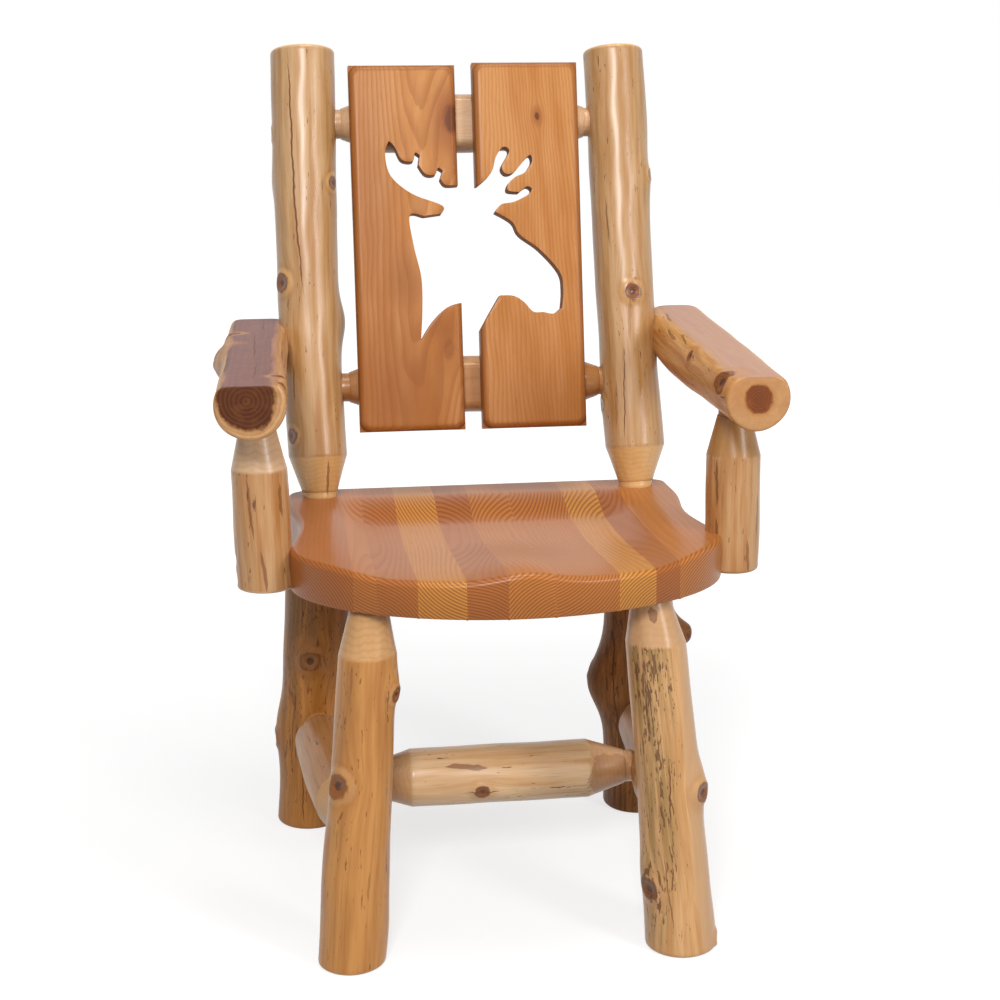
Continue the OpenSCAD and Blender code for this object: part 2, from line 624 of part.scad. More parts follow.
// The moose's head, measured from the middle of the gap and from the slats' lower ends. Each
// stroke is one curve, and the strokes meet at corners.
antler_underside = [[-98, 359], [-103, 343], [-97, 316], [-72, 294], [-39, 281], [-32, 275], [-36, 268]];
ear_to_chest = [[-57, 266], [-75, 267], [-71, 229], [-63, 190], [-63, 150], [-66, 112]];
chest_left = [[-66, 112], [-50, 136], [-31, 153], [-8, 159]];
chest_right = [[8, 121], [22, 145], [35, 166]];
jaw = [[35, 166], [52, 165], [65, 157], [76, 145], [89, 144], [102, 142], [113, 149]];
face = [[113, 149], [115, 172], [111, 194], [87, 222], [62, 241], [53, 257], [32, 270]];
brow_tine = [[32, 270], [40, 279], [56, 282], [73, 290], [79, 297], [73, 301], [63, 294]];
middle_tine = [[63, 294], [49, 296], [50, 305], [59, 313], [70, 318], [80, 331], [78, 340], [69, 332]];
top_tine = [[69, 332], [57, 319], [47, 317], [42, 326], [52, 345], [44, 350], [35, 338], [28, 318], [9, 301]];
palm = [[-12, 304], [-29, 304], [-36, 313]];
palm_point_low = [[-32, 322], [-38, 325], [-42, 317], [-54, 318], [-63, 331]];
palm_point_high = [[-60, 341], [-66, 344], [-69, 334], [-83, 336], [-91, 352], [-98, 359]];

function curve_at(p, i, t) =
    let (
        a = p[max(0, i - 1)], b = p[i], c = p[i + 1], d = p[min(len(p) - 1, i + 2)],
        t2 = t * t, t3 = t2 * t
    )
    0.5 * (2 * b + (c - a) * t + (2 * a - 5 * b + 4 * c - d) * t2 + (3 * b - a - 3 * c + d) * t3);
function curve(p, steps = 3) =
    [for (i = [0 : len(p) - 2], k = [0 : steps - 1]) curve_at(p, i, k / steps)];

module moose_head() {
    polygon(concat(
        curve(antler_underside), curve(ear_to_chest), curve(chest_left), [chest_left[len(chest_left) - 1]],
        curve(chest_right), curve(jaw), curve(face), curve(brow_tine), curve(middle_tine), curve(top_tine),
        curve(palm), curve(palm_point_low), curve(palm_point_high)));
}

module back_slat(s) {
    color("sandybrown")
    difference() {
        on_back_frame()
            translate([slat_x(s) - slat_w / 2, slat_start, slat_rear]) cube([slat_w, pick(slat_l, s), slat_t]);
        on_back_frame()
            translate([slat_shift + moose_shift, slat_start, slat_rear - 1]) linear_extrude(slat_t + 2) moose_head();
        for (w = [lower_rail_w, upper_rail_w], k = [left, right]) slat_screw_bore(s, w, k);
    }
}

// Arms
function arm_ends(s) = [pick(arm_front_r, s), pick(arm_rear_r, s)];
function arm_cut(s, radii) = sawn(pick(radii, s), small_edge);
function under_arm(s) = arm_at(s, arm_post_y).z - arm_radius(s, arm_post_y);
function arm_post_at(s, z) = mix(arm_post_base(s), arm_post_top(s),
    (z - seat_bottom) / (arm_post_top(s).z - seat_bottom));
function arm_tenon_tip(s, more = 0) = arm_post_at(s, under_arm(s) + arm_tenon_l + more);

module armrest(s, knots, seed) {
    f = arm_front(s);
    color("rosybrown")
    difference() {
        log_skin(f, arm_rear(s), arm_ends(s), arm_cut(s, arm_front_r), arm_cut(s, arm_rear_r), knots, seed);
        translate([f.x, f.y, arm_front_z(s)]) rotate([arm_rise(s), 0, 0])
            translate([-far / 2, -far / 8, 0]) cube([far, 2 * far, far / 4]);
        arm_seat_block(s, -1);
        rod(arm_post_at(s, seat_h), arm_tenon_tip(s, end_gap), arm_tenon_r + fit);
        for (k = [left, right]) {
            rod(armrest_screw_point(s, k, outside), armrest_screw_point(s, k, -far), lag_r + fit);
            rod(armrest_screw_point(s, k, -armrest_grip(s)), armrest_screw_point(s, k, -far), lag_head_r + fit);
        }
    }
}

module arm_post(s, knots, seed) {
    taper = pick(arm_post_taper, s);
    color("burlywood")
    difference() {
        union() {
            log_skin(arm_post_base(s), arm_post_at(s, under_arm(s) - neck), [arm_post_r, arm_post_r],
                sawn(arm_post_r, small_edge), cone(taper, arm_tenon_r + taper_step), knots, seed, [0, 0], true);
            rod(arm_post_at(s, under_arm(s) - taper), arm_tenon_tip(s), arm_tenon_r);
        }
        translate([0, 0, seat_bottom - outside]) linear_extrude(seat_t + outside + fit) seat_outline(fit);
        for (k = [left, right]) {
            rod(arm_screw_point(s, k, outside), arm_screw_point(s, k, -far / 4), lag_r + fit);
            rod(arm_screw_point(s, k, -arm_post_grip(s)), arm_screw_point(s, k, -far / 4), lag_head_r + fit);
        }
    }
}

// Lag screws. Each point lies on a screw's axis, a depth past the joint that it crosses.
function armrest_screw_point(s, k, depth) =
    let (p = post_at(s, arm_mid_z(s)))
    [arm_seat_x(s) - s * depth, p.y + k * lag_spread, arm_at(s, p.y).z - arm_screw_drop];
function armrest_grip(s) =
    2 * arm_radius(s, post_at(s, arm_mid_z(s)).y) - arm_bite - lag_head_t - lag_sink - arm_screw_in;
function arm_screw_point(s, k, depth) = [
    seat_shift + s * (seat_side - depth),
    arm_post_y,
    seat_bottom + seat_t / 2 + k * lag_spread
];
function arm_post_grip(s) = abs(arm_post_base(s).x - seat_shift) - seat_side + arm_post_r - lag_head_t - lag_sink;

// A lag screw with a six-sided head, from the far side of its counterbore to its tip
module lag_screw(head, tip) {
    rod(head, tip, lag_r);
    along(head, tip) translate([0, 0, -lag_head_t]) cylinder(h = lag_head_t, r = lag_head_r, $fn = 6);
}

module slat_screws() {
    color("silver")
    on_back_frame()
        for (s = [left, right], w = [lower_rail_w, upper_rail_w], k = [left, right])
            slat_screw_rods(s, w, k, 0, 0);
}

module armrest_screws() {
    color("silver")
    for (s = [left, right], k = [left, right])
        lag_screw(armrest_screw_point(s, k, -armrest_grip(s)), armrest_screw_point(s, k, lag_bite));
}

module arm_post_screws() {
    color("silver")
    for (s = [left, right], k = [left, right])
        lag_screw(arm_screw_point(s, k, -arm_post_grip(s)), arm_screw_point(s, k, lag_bite));
}

// Moves a piece from the back posts' middle to the chair's own origin
module placed() {
    translate(-origin) children();
}

// Each log gets its knots, the seed of its waviness and its bow across and along the chair
for (i = [1 : len(stave_w)])
    placed() seat_stave(i);
placed() leg_front(left, knots_front_left, 10, [1, 3]);  // leg_front_left
placed() leg_front(right, knots_front_right, 130, [3, 3]);  // leg_front_right
placed() leg_rear(left, knots_rear_left, 200, [0, 3]);  // leg_rear_left
placed() leg_rear(right, knots_rear_right, 70, [1, -2]);  // leg_rear_right
placed() side_stretcher(left, knots_side_left, 20, [2, -5]);  // side_stretcher_left
placed() side_stretcher(right, knots_side_right, 160, [2, 3]);  // side_stretcher_right
placed() cross_stretcher();
placed() back_post(left, knots_post_left, 80, [-4, 0]);  // back_post_left
placed() back_post(right, knots_post_right, 250, [-1, 0]);  // back_post_right
placed() back_rail(upper_rail_w, knots_rail_upper, 30);  // back_rail_upper
placed() back_rail(lower_rail_w, knots_rail_lower, 190);  // back_rail_lower
placed() back_slat(left);  // back_slat_left
placed() back_slat(right);  // back_slat_right
placed() armrest(left, knots_arm_left, seed_arm_left);  // armrest_left
placed() armrest(right, knots_arm_right, seed_arm_right);  // armrest_right
placed() arm_post(left, knots_arm_post_left, 60);  // arm_post_left
placed() arm_post(right, knots_arm_post_right, 220);  // arm_post_right
placed() slat_screws();
placed() armrest_screws();
placed() arm_post_screws();
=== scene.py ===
"""A log armchair: peeled and lacquered logs, a glued and scooped plank seat, and a sawn-out back.

Lengths are in millimetres, measured from the floor midway between the back posts, with X to the
viewer's right, Y to the back and Z up. ORIGIN moves them to the chair's own origin.
"""

import logging
import math
from dataclasses import dataclass
from enum import Enum
from typing import Callable, Sequence

import bmesh
import bpy
import numpy as np
from mathutils import Matrix, Vector


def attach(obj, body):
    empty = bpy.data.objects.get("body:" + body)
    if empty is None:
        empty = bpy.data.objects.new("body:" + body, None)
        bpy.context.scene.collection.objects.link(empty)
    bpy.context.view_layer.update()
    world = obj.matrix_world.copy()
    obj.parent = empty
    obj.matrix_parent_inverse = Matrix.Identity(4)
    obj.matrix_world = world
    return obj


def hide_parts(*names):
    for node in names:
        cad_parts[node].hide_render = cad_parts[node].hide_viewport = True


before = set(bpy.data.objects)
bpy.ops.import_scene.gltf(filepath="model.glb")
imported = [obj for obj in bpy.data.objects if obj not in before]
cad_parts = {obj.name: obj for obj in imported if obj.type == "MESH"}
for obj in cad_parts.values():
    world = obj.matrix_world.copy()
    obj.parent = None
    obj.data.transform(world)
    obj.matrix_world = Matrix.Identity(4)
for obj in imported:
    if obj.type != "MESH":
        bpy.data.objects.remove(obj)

MM = 0.001
ORIGIN = np.array([-10.7791, -140.052, 0.0])
LEAN = math.radians(10.6449)    # the back's lean from upright
SEAT_TOP = 457.0
SEAT_BOTTOM = 411.0
NECK = 5.0                      # bare tenon between a taper and the wood that it enters
SLATS_REAR = 18.0               # from the plane of the posts' feet to the backs of the slats
SLAT_SCREWS = (-125.0, -49.0, 29.0, 105.0)      # where the slat screws stand across the back
SLAT_BORE = 4.55                # radius of the counterbore that a slat screw's head sits in
SIDE_BORE = 9.15                # radius of the counterbore of a screw from the chair's side
LINE_LAYERS = ("line_a", "line_b", "line_c", "line_d")
STAVE_TINTS = ("#975324", "#af682d", "#be7834", "#cd8e3c")
POST_INSET = 0.2                # how far a post's top is drawn in
TENON_STEP = 1.0                # how much a taper's tip stands out round its tenon
TENON_IN = 6.0                  # how far a tenon is modelled past its neck
NO_LINE = (20.0, -20.0, 0.0)    # what a log keeps for a line that it doesn't have
LOG = logging.getLogger("armchair")

Point = Sequence[float]
Socket = bpy.types.NodeSocket
Value = Socket | float | Point


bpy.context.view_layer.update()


def linear(colour: str) -> tuple[float, float, float, float]:
    """Turns an sRGB hex colour to linear light.

    Args:
        colour: The colour as "#rrggbb".

    Returns:
        Red, green, blue and alpha for a colour socket.
    """
    parts = [int(colour[i:i + 2], 16) / 255 for i in (1, 3, 5)]
    light = [c / 12.92 if c <= 0.04045 else ((c + 0.055) / 1.055) ** 2.4 for c in parts]
    return light[0], light[1], light[2], 1.0


def add(tree: bpy.types.NodeTree, kind: str, settings: dict | None = None,
        **inputs: Value) -> bpy.types.Node:
    """Adds a node with its settings and links.

    Args:
        tree: The material's or world's nodes.
        kind: The node's type.
        settings: Properties to set on the node.
        **inputs: A value or an output socket for each input, named with _ for a space, or in_N.

    Returns:
        The new node.
    """
    node = tree.nodes.new(kind)
    for key, value in (settings or {}).items():
        setattr(node, key, value)
    for key, value in inputs.items():
        socket = node.inputs[int(key[3:])] if key.startswith("in_") else node.inputs[key.replace("_", " ")]
        if isinstance(value, bpy.types.NodeSocket):
            tree.links.new(value, socket)
        else:
            socket.default_value = value
    return node


def new_material(name: str) -> tuple[bpy.types.Material, bpy.types.NodeTree]:
    """Makes an empty node material.

    Args:
        name: The material's name.

    Returns:
        The material and its nodes.
    """
    material = bpy.data.materials.new(name)
    material.use_nodes = True
    material.node_tree.nodes.clear()
    return material, material.node_tree


def smooth(low: float, high: float, x: np.ndarray) -> np.ndarray:
    """Steps smoothly from 0 at low to 1 at high."""
    t = np.clip((x - low) / (high - low), 0.0, 1.0)
    return t * t * (3 - 2 * t)


def turned(a: np.ndarray, b: float | np.ndarray) -> np.ndarray:
    """Gives the angle from b to a in degrees, between -180 and 180."""
    return (a - b + 900) % 360 - 180


def rounding(radius: float, inset: np.ndarray) -> np.ndarray:
    """Gives how far a rounded edge drops at distances in from it, up to its radius."""
    return radius - np.sqrt(np.maximum(0, radius ** 2 - (radius - inset) ** 2))


def only(parts: Sequence, kind: type) -> list:
    """Picks the points or the edges out of what a step has made."""
    return [part for part in parts if isinstance(part, kind)]


def spot(base: Point, top: Point, gap: float) -> np.ndarray:
    """Gives the point that lies a gap from one point on the way to another."""
    a, run = np.array(base, float), np.array(top, float) - np.array(base, float)
    return a + run / np.linalg.norm(run) * gap


class EndForm(Enum):
    """How a log's end is shaped."""
    SAWN = "sawn square, with a rounded edge"
    TAPER = "cut to a cone that ends in a round tenon"


class Mark(Enum):
    """What a line along a log's surface is, as how dark it is."""
    CHECK = 1.0
    SCAR = 0.62
    STREAK = 0.34


@dataclass(frozen=True)
class LogEnd:
    """One end of a log: its form, the length that it shapes and the radius at its tip."""
    form: EndForm
    length: float
    tip: float


@dataclass(frozen=True)
class Knot:
    """A branch's place on a log: distance along it, angle round it, and radius."""
    s: float
    angle: float
    size: float
    rise: float = 1.2


@dataclass(frozen=True)
class Line:
    """A drying check, a scar or a streak along a log."""
    path: tuple[tuple[float, float], ...]
    width: float
    mark: Mark


def sawn(r: float, edge: float = 5.0) -> LogEnd:
    """A sawn end whose edge is rounded by this much."""
    return LogEnd(EndForm.SAWN, edge, r - edge)


def taper(length: float, tenon: float) -> LogEnd:
    """A tapered end above a tenon of this radius."""
    return LogEnd(EndForm.TAPER, length, tenon + TENON_STEP)


def check(width: float, *path: tuple[float, float]) -> Line:
    """A drying check through places along and round a log."""
    return Line(path, width, Mark.CHECK)


def scar(width: float, *path: tuple[float, float]) -> Line:
    """A scar through places along and round a log."""
    return Line(path, width, Mark.SCAR)


def streak(width: float, *path: tuple[float, float]) -> Line:
    """A soft streak through places along and round a log."""
    return Line(path, width, Mark.STREAK)


def make_object(bm: bmesh.types.BMesh, name: str, node: str,
                material: bpy.types.Material) -> bpy.types.Object:
    """Turns a bmesh in millimetres into the piece that stands for a node.

    Args:
        bm: The shape, in construction millimetres. It is freed.
        name: The piece's name.
        node: The node of the frame that it replaces.
        material: Its finish.

    Returns:
        The piece, in metres from the chair's origin.
    """
    bmesh.ops.translate(bm, verts=bm.verts, vec=Vector(-ORIGIN))
    bmesh.ops.scale(bm, verts=bm.verts, vec=(MM, MM, MM))
    mesh = bpy.data.meshes.new(name)
    bm.to_mesh(mesh)
    bm.free()
    mesh.materials.append(material)
    mesh.shade_smooth()
    piece = bpy.data.objects.new(name, mesh)
    bpy.context.scene.collection.objects.link(piece)
    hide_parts(node)
    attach(piece, "root")
    LOG.info("%s: %d faces", name, len(mesh.polygons))
    return piece


def places(mesh: bpy.types.Mesh) -> np.ndarray:
    """Gives a finished piece's points in construction millimetres.

    Args:
        mesh: The piece's mesh.

    Returns:
        One row of three numbers for each point.
    """
    flat = np.empty(len(mesh.vertices) * 3)
    mesh.vertices.foreach_get("co", flat)
    return flat.reshape(-1, 3) / MM + ORIGIN


def store(mesh: bpy.types.Mesh, name: str, values: np.ndarray) -> None:
    """Keeps a number or a vector for each point of a mesh, for its material to read.

    Args:
        mesh: The piece's mesh.
        name: The name that the material asks for.
        values: One number or one vector for each point.
    """
    kind, field = ("FLOAT_VECTOR", "vector") if values.ndim == 2 else ("FLOAT", "value")
    layer = mesh.attributes.new(name, kind, "POINT")
    layer.data.foreach_set(field, values.astype(np.float32).ravel())


def lay_grid(bm: bmesh.types.BMesh, rows: int, columns: int,
             place: Callable[[np.ndarray, np.ndarray], np.ndarray]) -> None:
    """Draws a grid and moves each of its points to a place on a surface.

    Args:
        bm: The bmesh that gets the grid.
        rows: Number of points along the grid's first way.
        columns: Number of points along its second way.
        place: Gives the points for arrays of row and column numbers.
    """
    bmesh.ops.create_grid(bm, x_segments=rows - 1, y_segments=columns - 1, size=1.0)
    flat = np.array([v.co[:2] for v in bm.verts])
    row = np.rint((flat[:, 0] + 1) / 2 * (rows - 1)).astype(int)
    column = np.rint((flat[:, 1] + 1) / 2 * (columns - 1)).astype(int)
    for v, p in zip(bm.verts, place(row, column)):
        v.co = p


def sawn_out(bm: bmesh.types.BMesh, cutter: bmesh.types.BMesh, ease: float = 0.0) -> bmesh.types.BMesh:
    """Saws one shape out of another.

    Args:
        bm: The shape. It is freed.
        cutter: What is sawn out of it. It is freed.
        ease: How far the sharp edges are broken.

    Returns:
        What is left of the shape.
    """
    loose: list[bpy.types.Object] = []
    for shape in (bm, cutter):
        mesh = bpy.data.meshes.new("loose")
        shape.to_mesh(mesh)
        shape.free()
        loose.append(bpy.data.objects.new("loose", mesh))
        bpy.context.scene.collection.objects.link(loose[-1])
    saw = loose[0].modifiers.new("saw", "BOOLEAN")
    saw.operation, saw.solver, saw.object = "DIFFERENCE", "EXACT", loose[1]
    if ease:
        edge = loose[0].modifiers.new("ease", "BEVEL")
        edge.width, edge.segments, edge.limit_method, edge.angle_limit = ease, 2, "ANGLE", math.radians(50)
    shaped = loose[0].evaluated_get(bpy.context.evaluated_depsgraph_get())
    done = bmesh.new()
    done.from_mesh(shaped.to_mesh())
    for part in loose:
        bpy.data.objects.remove(part)
    return done


class Wood:
    """The nodes of one wood finish, with the steps that every finish repeats."""

    def __init__(self, name: str, ground: str) -> None:
        """Starts the material.

        Args:
            name: The material's name.
            ground: The colour that everything else is laid over.
        """
        self.material, self.tree = new_material(name)
        self.colour = linear(ground)
        self.grain = self.kept("grain", "Vector")

    def kept(self, name: str, out: str = "Fac") -> Socket:
        """Reads a value that the piece keeps for each of its points."""
        return add(self.tree, "ShaderNodeAttribute", {"attribute_name": name}).outputs[out]

    def math(self, kind: str, a: Value, b: Value = 0.0) -> Socket:
        """Does one step of arithmetic."""
        return add(self.tree, "ShaderNodeMath", {"operation": kind}, in_0=a, in_1=b).outputs[0]

    def times(self, a: Value, b: Value) -> Socket:
        """Multiplies two values."""
        return self.math("MULTIPLY", a, b)

    def plus(self, a: Value, b: Value) -> Socket:
        """Adds two values."""
        return self.math("ADD", a, b)

    def minus(self, a: Value, b: Value) -> Socket:
        """Takes the second value from the first."""
        return self.math("SUBTRACT", a, b)

    def swing(self, noise: Socket, reach: Value) -> Socket:
        """Turns noise, which lies round a half, into a shift to both sides of 0."""
        return self.times(self.minus(noise, 0.5), reach)

    def vector(self, kind: str, a: Value, b: Value = (0.0, 0.0, 0.0), out: str = "Vector") -> Socket:
        """Does one step of vector arithmetic."""
        return add(self.tree, "ShaderNodeVectorMath", {"operation": kind}, in_0=a, in_1=b).outputs[out]

    def band(self, value: Socket, low: float, high: float, top: float = 1.0) -> Socket:
        """Steps smoothly from 0 to top as the value goes from low to high."""
        return add(self.tree, "ShaderNodeMapRange", {"interpolation_type": "SMOOTHSTEP"}, Value=value,
                   From_Min=low, From_Max=high, To_Min=0.0, To_Max=top).outputs[0]

    def noise(self, across: float, along: float, shift: float, detail: float = 3.0) -> Socket:
        """Makes noise drawn out along the grain.

        Args:
            across: Its size across the grain, in mm.
            along: Its size along the grain, in mm.
            shift: Where it is taken from, so that no two patterns agree.
            detail: How many finer layers it has.

        Returns:
            The noise, round a half.
        """
        spread = add(self.tree, "ShaderNodeMapping", None, Vector=self.grain,
                     Location=(shift, shift * 0.7, shift * 1.3), Scale=(1 / across, 1 / across, 1 / along))
        return add(self.tree, "ShaderNodeTexNoise", None, Vector=spread.outputs[0], Scale=1.0, Detail=detail,
                   Roughness=0.55).outputs["Fac"]

    def lay(self, colour: str | Socket, share: Value) -> None:
        """Lays a colour over what the wood shows so far, by a share."""
        top = linear(colour) if isinstance(colour, str) else colour
        self.colour = add(self.tree, "ShaderNodeMix", {"data_type": "RGBA"}, in_0=share, in_6=self.colour,
                          in_7=top).outputs[2]

    def lacquered(self, height: Socket, relief: float, roughness: float, coat: float,
                  coat_roughness: float) -> bpy.types.Material:
        """Adds the relief and the surface under its lacquer.

        Args:
            height: The relief in mm.
            relief: How strongly it shows.
            roughness: The bare wood's roughness.
            coat: How much lacquer lies on it.
            coat_roughness: The lacquer's roughness.

        Returns:
            The finished material.
        """
        bump = add(self.tree, "ShaderNodeBump", None, Strength=relief, Distance=MM, Height=height)
        wood = add(self.tree, "ShaderNodeBsdfPrincipled", None, Base_Color=self.colour, Roughness=roughness,
                   Normal=bump.outputs[0], IOR=1.5, Specular_IOR_Level=0.1, Coat_Weight=coat,
                   Coat_Roughness=coat_roughness)
        add(self.tree, "ShaderNodeOutputMaterial", None, Surface=wood.outputs[0])
        return self.material


@dataclass(frozen=True)
class LogFinish:
    """Peeled pine or cedar log, drawknifed and sanded, under several coats of gloss lacquer.

    The eye sees a pale skin with long amber streaks, thin brown flecks where the inner bark
    stays, dark checks, rings only where the wood is cut across, and soft bands of light.
    """
    name: str
    pale: str = "#cc9f6c"
    amber: str = "#a4682b"
    line: str = "#8f5424"
    fleck: str = "#5c2e0a"
    heart: str = "#5e2d14"
    knot: str = "#84490f"
    knot_eye: str = "#431b03"
    bark: str = "#7d6233"
    fresh: str = "#cda273"
    ring: str = "#b07335"
    mark: str = "#642e06"
    dark_fleck: str = "#2c1609"
    # The next colour is a painted pinkish sheen on planed tops, laid by the share after it
    planed_sheen: str = "#c89a8a"
    planed_sheen_share: float = 0.0
    heart_radius: float = 0.0
    core: float = 0.6
    flecks: float = 0.2
    streaks: float = 0.5
    rings: float = 0.16
    ring_gap: float = 1.9
    fine_lines: float = 0.38
    coat: float = 0.6
    coat_roughness: float = 0.27

    def build(self) -> bpy.types.Material:
        """Builds the material, whose patterns run along the piece's own grain.

        Returns:
            The finished material.
        """
        w = Wood(self.name, self.pale)
        cut, bark = w.kept("cut"), w.kept("bark")
        skin = w.minus(1.0, cut)
        tone, streak = w.noise(13.0, 190.0, 3.0), w.noise(5.0, 130.0, 21.0)
        fine, cluster = w.noise(1.3, 60.0, 47.0, 2.0), w.noise(22.0, 60.0, 5.0)
        dash, speck = w.noise(3.3, 21.0, 63.0, 2.5), w.noise(3.0, 10.0, 99.0, 4.0)

        w.lay(self.amber, w.band(tone, 0.36, 0.7, 0.85))
        w.lay(self.amber, w.band(streak, 0.5, 0.72, self.streaks))
        w.lay(self.line, w.band(fine, 0.5, 0.8, self.fine_lines))
        # Bark below 0 is a shaved face, and above 0 a stain of inner bark, which on the rear right leg's foot is
        # painted shade
        w.lay(self.fresh, w.times(w.band(bark, -0.2, -0.6), 0.8))
        w.lay(self.bark, w.times(w.times(w.band(bark, 0.0, 1.1), skin), w.band(streak, 0.34, 0.6, 0.85)))
        w.lay(self.fresh, w.times(cut, 0.75))
        late = self.lay_rings(w, tone, cut)
        knot = self.lay_knots(w, speck)

        spread = w.plus(w.times(bark, 0.1), self.flecks * 0.11)
        spread = w.plus(spread, w.swing(cluster, 0.34))
        dashes, specks = w.band(w.plus(dash, spread), 0.7, 0.745), w.band(w.plus(speck, spread), 0.72, 0.76)
        fleck = w.times(w.math("MAXIMUM", dashes, specks), w.times(skin, 0.82))
        w.lay(self.fleck, fleck)
        w.lay(self.dark_fleck, w.times(w.band(fine, 0.5, 0.62, 0.15), fleck))

        # The drawknife's facets, fine fibres, flecks, lines, rings and the knots' split middles
        facet = w.plus(w.times(w.noise(12.0, 40.0, 123.0, 1.0), 1.7), w.times(w.noise(4.0, 17.0, 141.0, 1.0), 0.3))
        height = w.minus(w.plus(w.times(fine, 0.12), facet), w.times(fleck, 0.25))
        for name in LINE_LAYERS:
            # A line is kept as the distance to its side, its half width and its darkness
            part = add(w.tree, "ShaderNodeSeparateXYZ", None, in_0=w.kept(name, "Vector"))
            inside = w.minus(part.outputs[1], w.math("ABSOLUTE", part.outputs[0]))
            ragged = w.plus(inside, w.swing(dash, part.outputs[1]))
            share = w.times(w.band(ragged, -0.25, 0.35), part.outputs[2])
            w.lay(self.mark, share)
            height = w.minus(height, w.times(share, 0.7))
        height = w.minus(w.minus(height, w.times(late, 0.12)), w.band(knot, 0.4, 0.1, 0.8))
        return w.lacquered(height, 0.8, 0.5, self.coat, self.coat_roughness)

    def lay_rings(self, w: Wood, tone: Socket, cut: Socket) -> Socket:
        """Lays the growth rings and the heart, seen only where the log is cut across them.

        Args:
            w: The finish's nodes.
            tone: Slow noise that frays the heart's edge.
            cut: 1 where the wood is cut across, and 0 on the log's skin.

        Returns:
            How much late wood shows.
        """
        across = w.vector("MULTIPLY", w.grain, (1.0, 1.0, 0.0))
        radius = w.plus(w.vector("LENGTH", across, out="Value"), w.times(w.noise(26.0, 70.0, 80.0, 2.0), 6.0))
        ring = w.math("SINE", w.times(radius, 2 * math.pi / self.ring_gap))
        late = w.times(w.band(ring, -0.2, 1.0, self.rings), cut)
        size = self.heart_radius
        edge = w.plus(radius, w.swing(tone, 3.5 + 0.34 * size))
        heart = w.times(cut, w.band(edge, size + 5.0, size + 0.5))
        if size:
            w.lay(self.amber, w.times(cut, w.band(edge, size + 10.0, size + 2.0, 0.5)))
        w.lay(self.heart, heart)
        w.lay(self.amber, w.times(heart, w.band(tone, 0.46, 0.7, 0.16)))
        w.lay(self.fleck, w.times(heart, w.band(radius, size * 0.42 + 5.0, 5.0, self.core)))
        w.lay(self.ring, late)
        # Planed tops take a painted pinkish sheen
        if self.planed_sheen_share:
            w.lay(self.planed_sheen, w.times(w.kept("planed_sheen"), self.planed_sheen_share))
        return late

    def lay_knots(self, w: Wood, speck: Socket) -> Socket:
        """Lays each knot: a pale collar, a dark rim, a brown face with rings, and a dark eye.

        Args:
            w: The finish's nodes.
            speck: Fine noise that frays the knots.

        Returns:
            The distance from the nearest knot's middle, as a share of its size.
        """
        knot = w.plus(w.kept("knot"), w.swing(speck, 0.8))
        w.lay(self.amber, w.band(knot, 2.6, 1.5, 0.55))
        w.lay(self.fresh, w.times(w.band(knot, 1.9, 1.5, 0.35), w.band(knot, 1.1, 1.3)))
        w.lay(self.fleck, w.band(knot, 1.16, 1.02, 0.85))
        w.lay(self.knot, w.band(knot, 0.95, 0.84, 0.9))
        ring = w.math("SINE", w.times(knot, 26.0))
        w.lay(self.fleck, w.times(w.band(ring, 0.0, 1.0, 0.75), w.band(knot, 0.98, 0.9)))
        w.lay(self.knot_eye, w.band(knot, 0.48, 0.3, 0.9))
        return knot


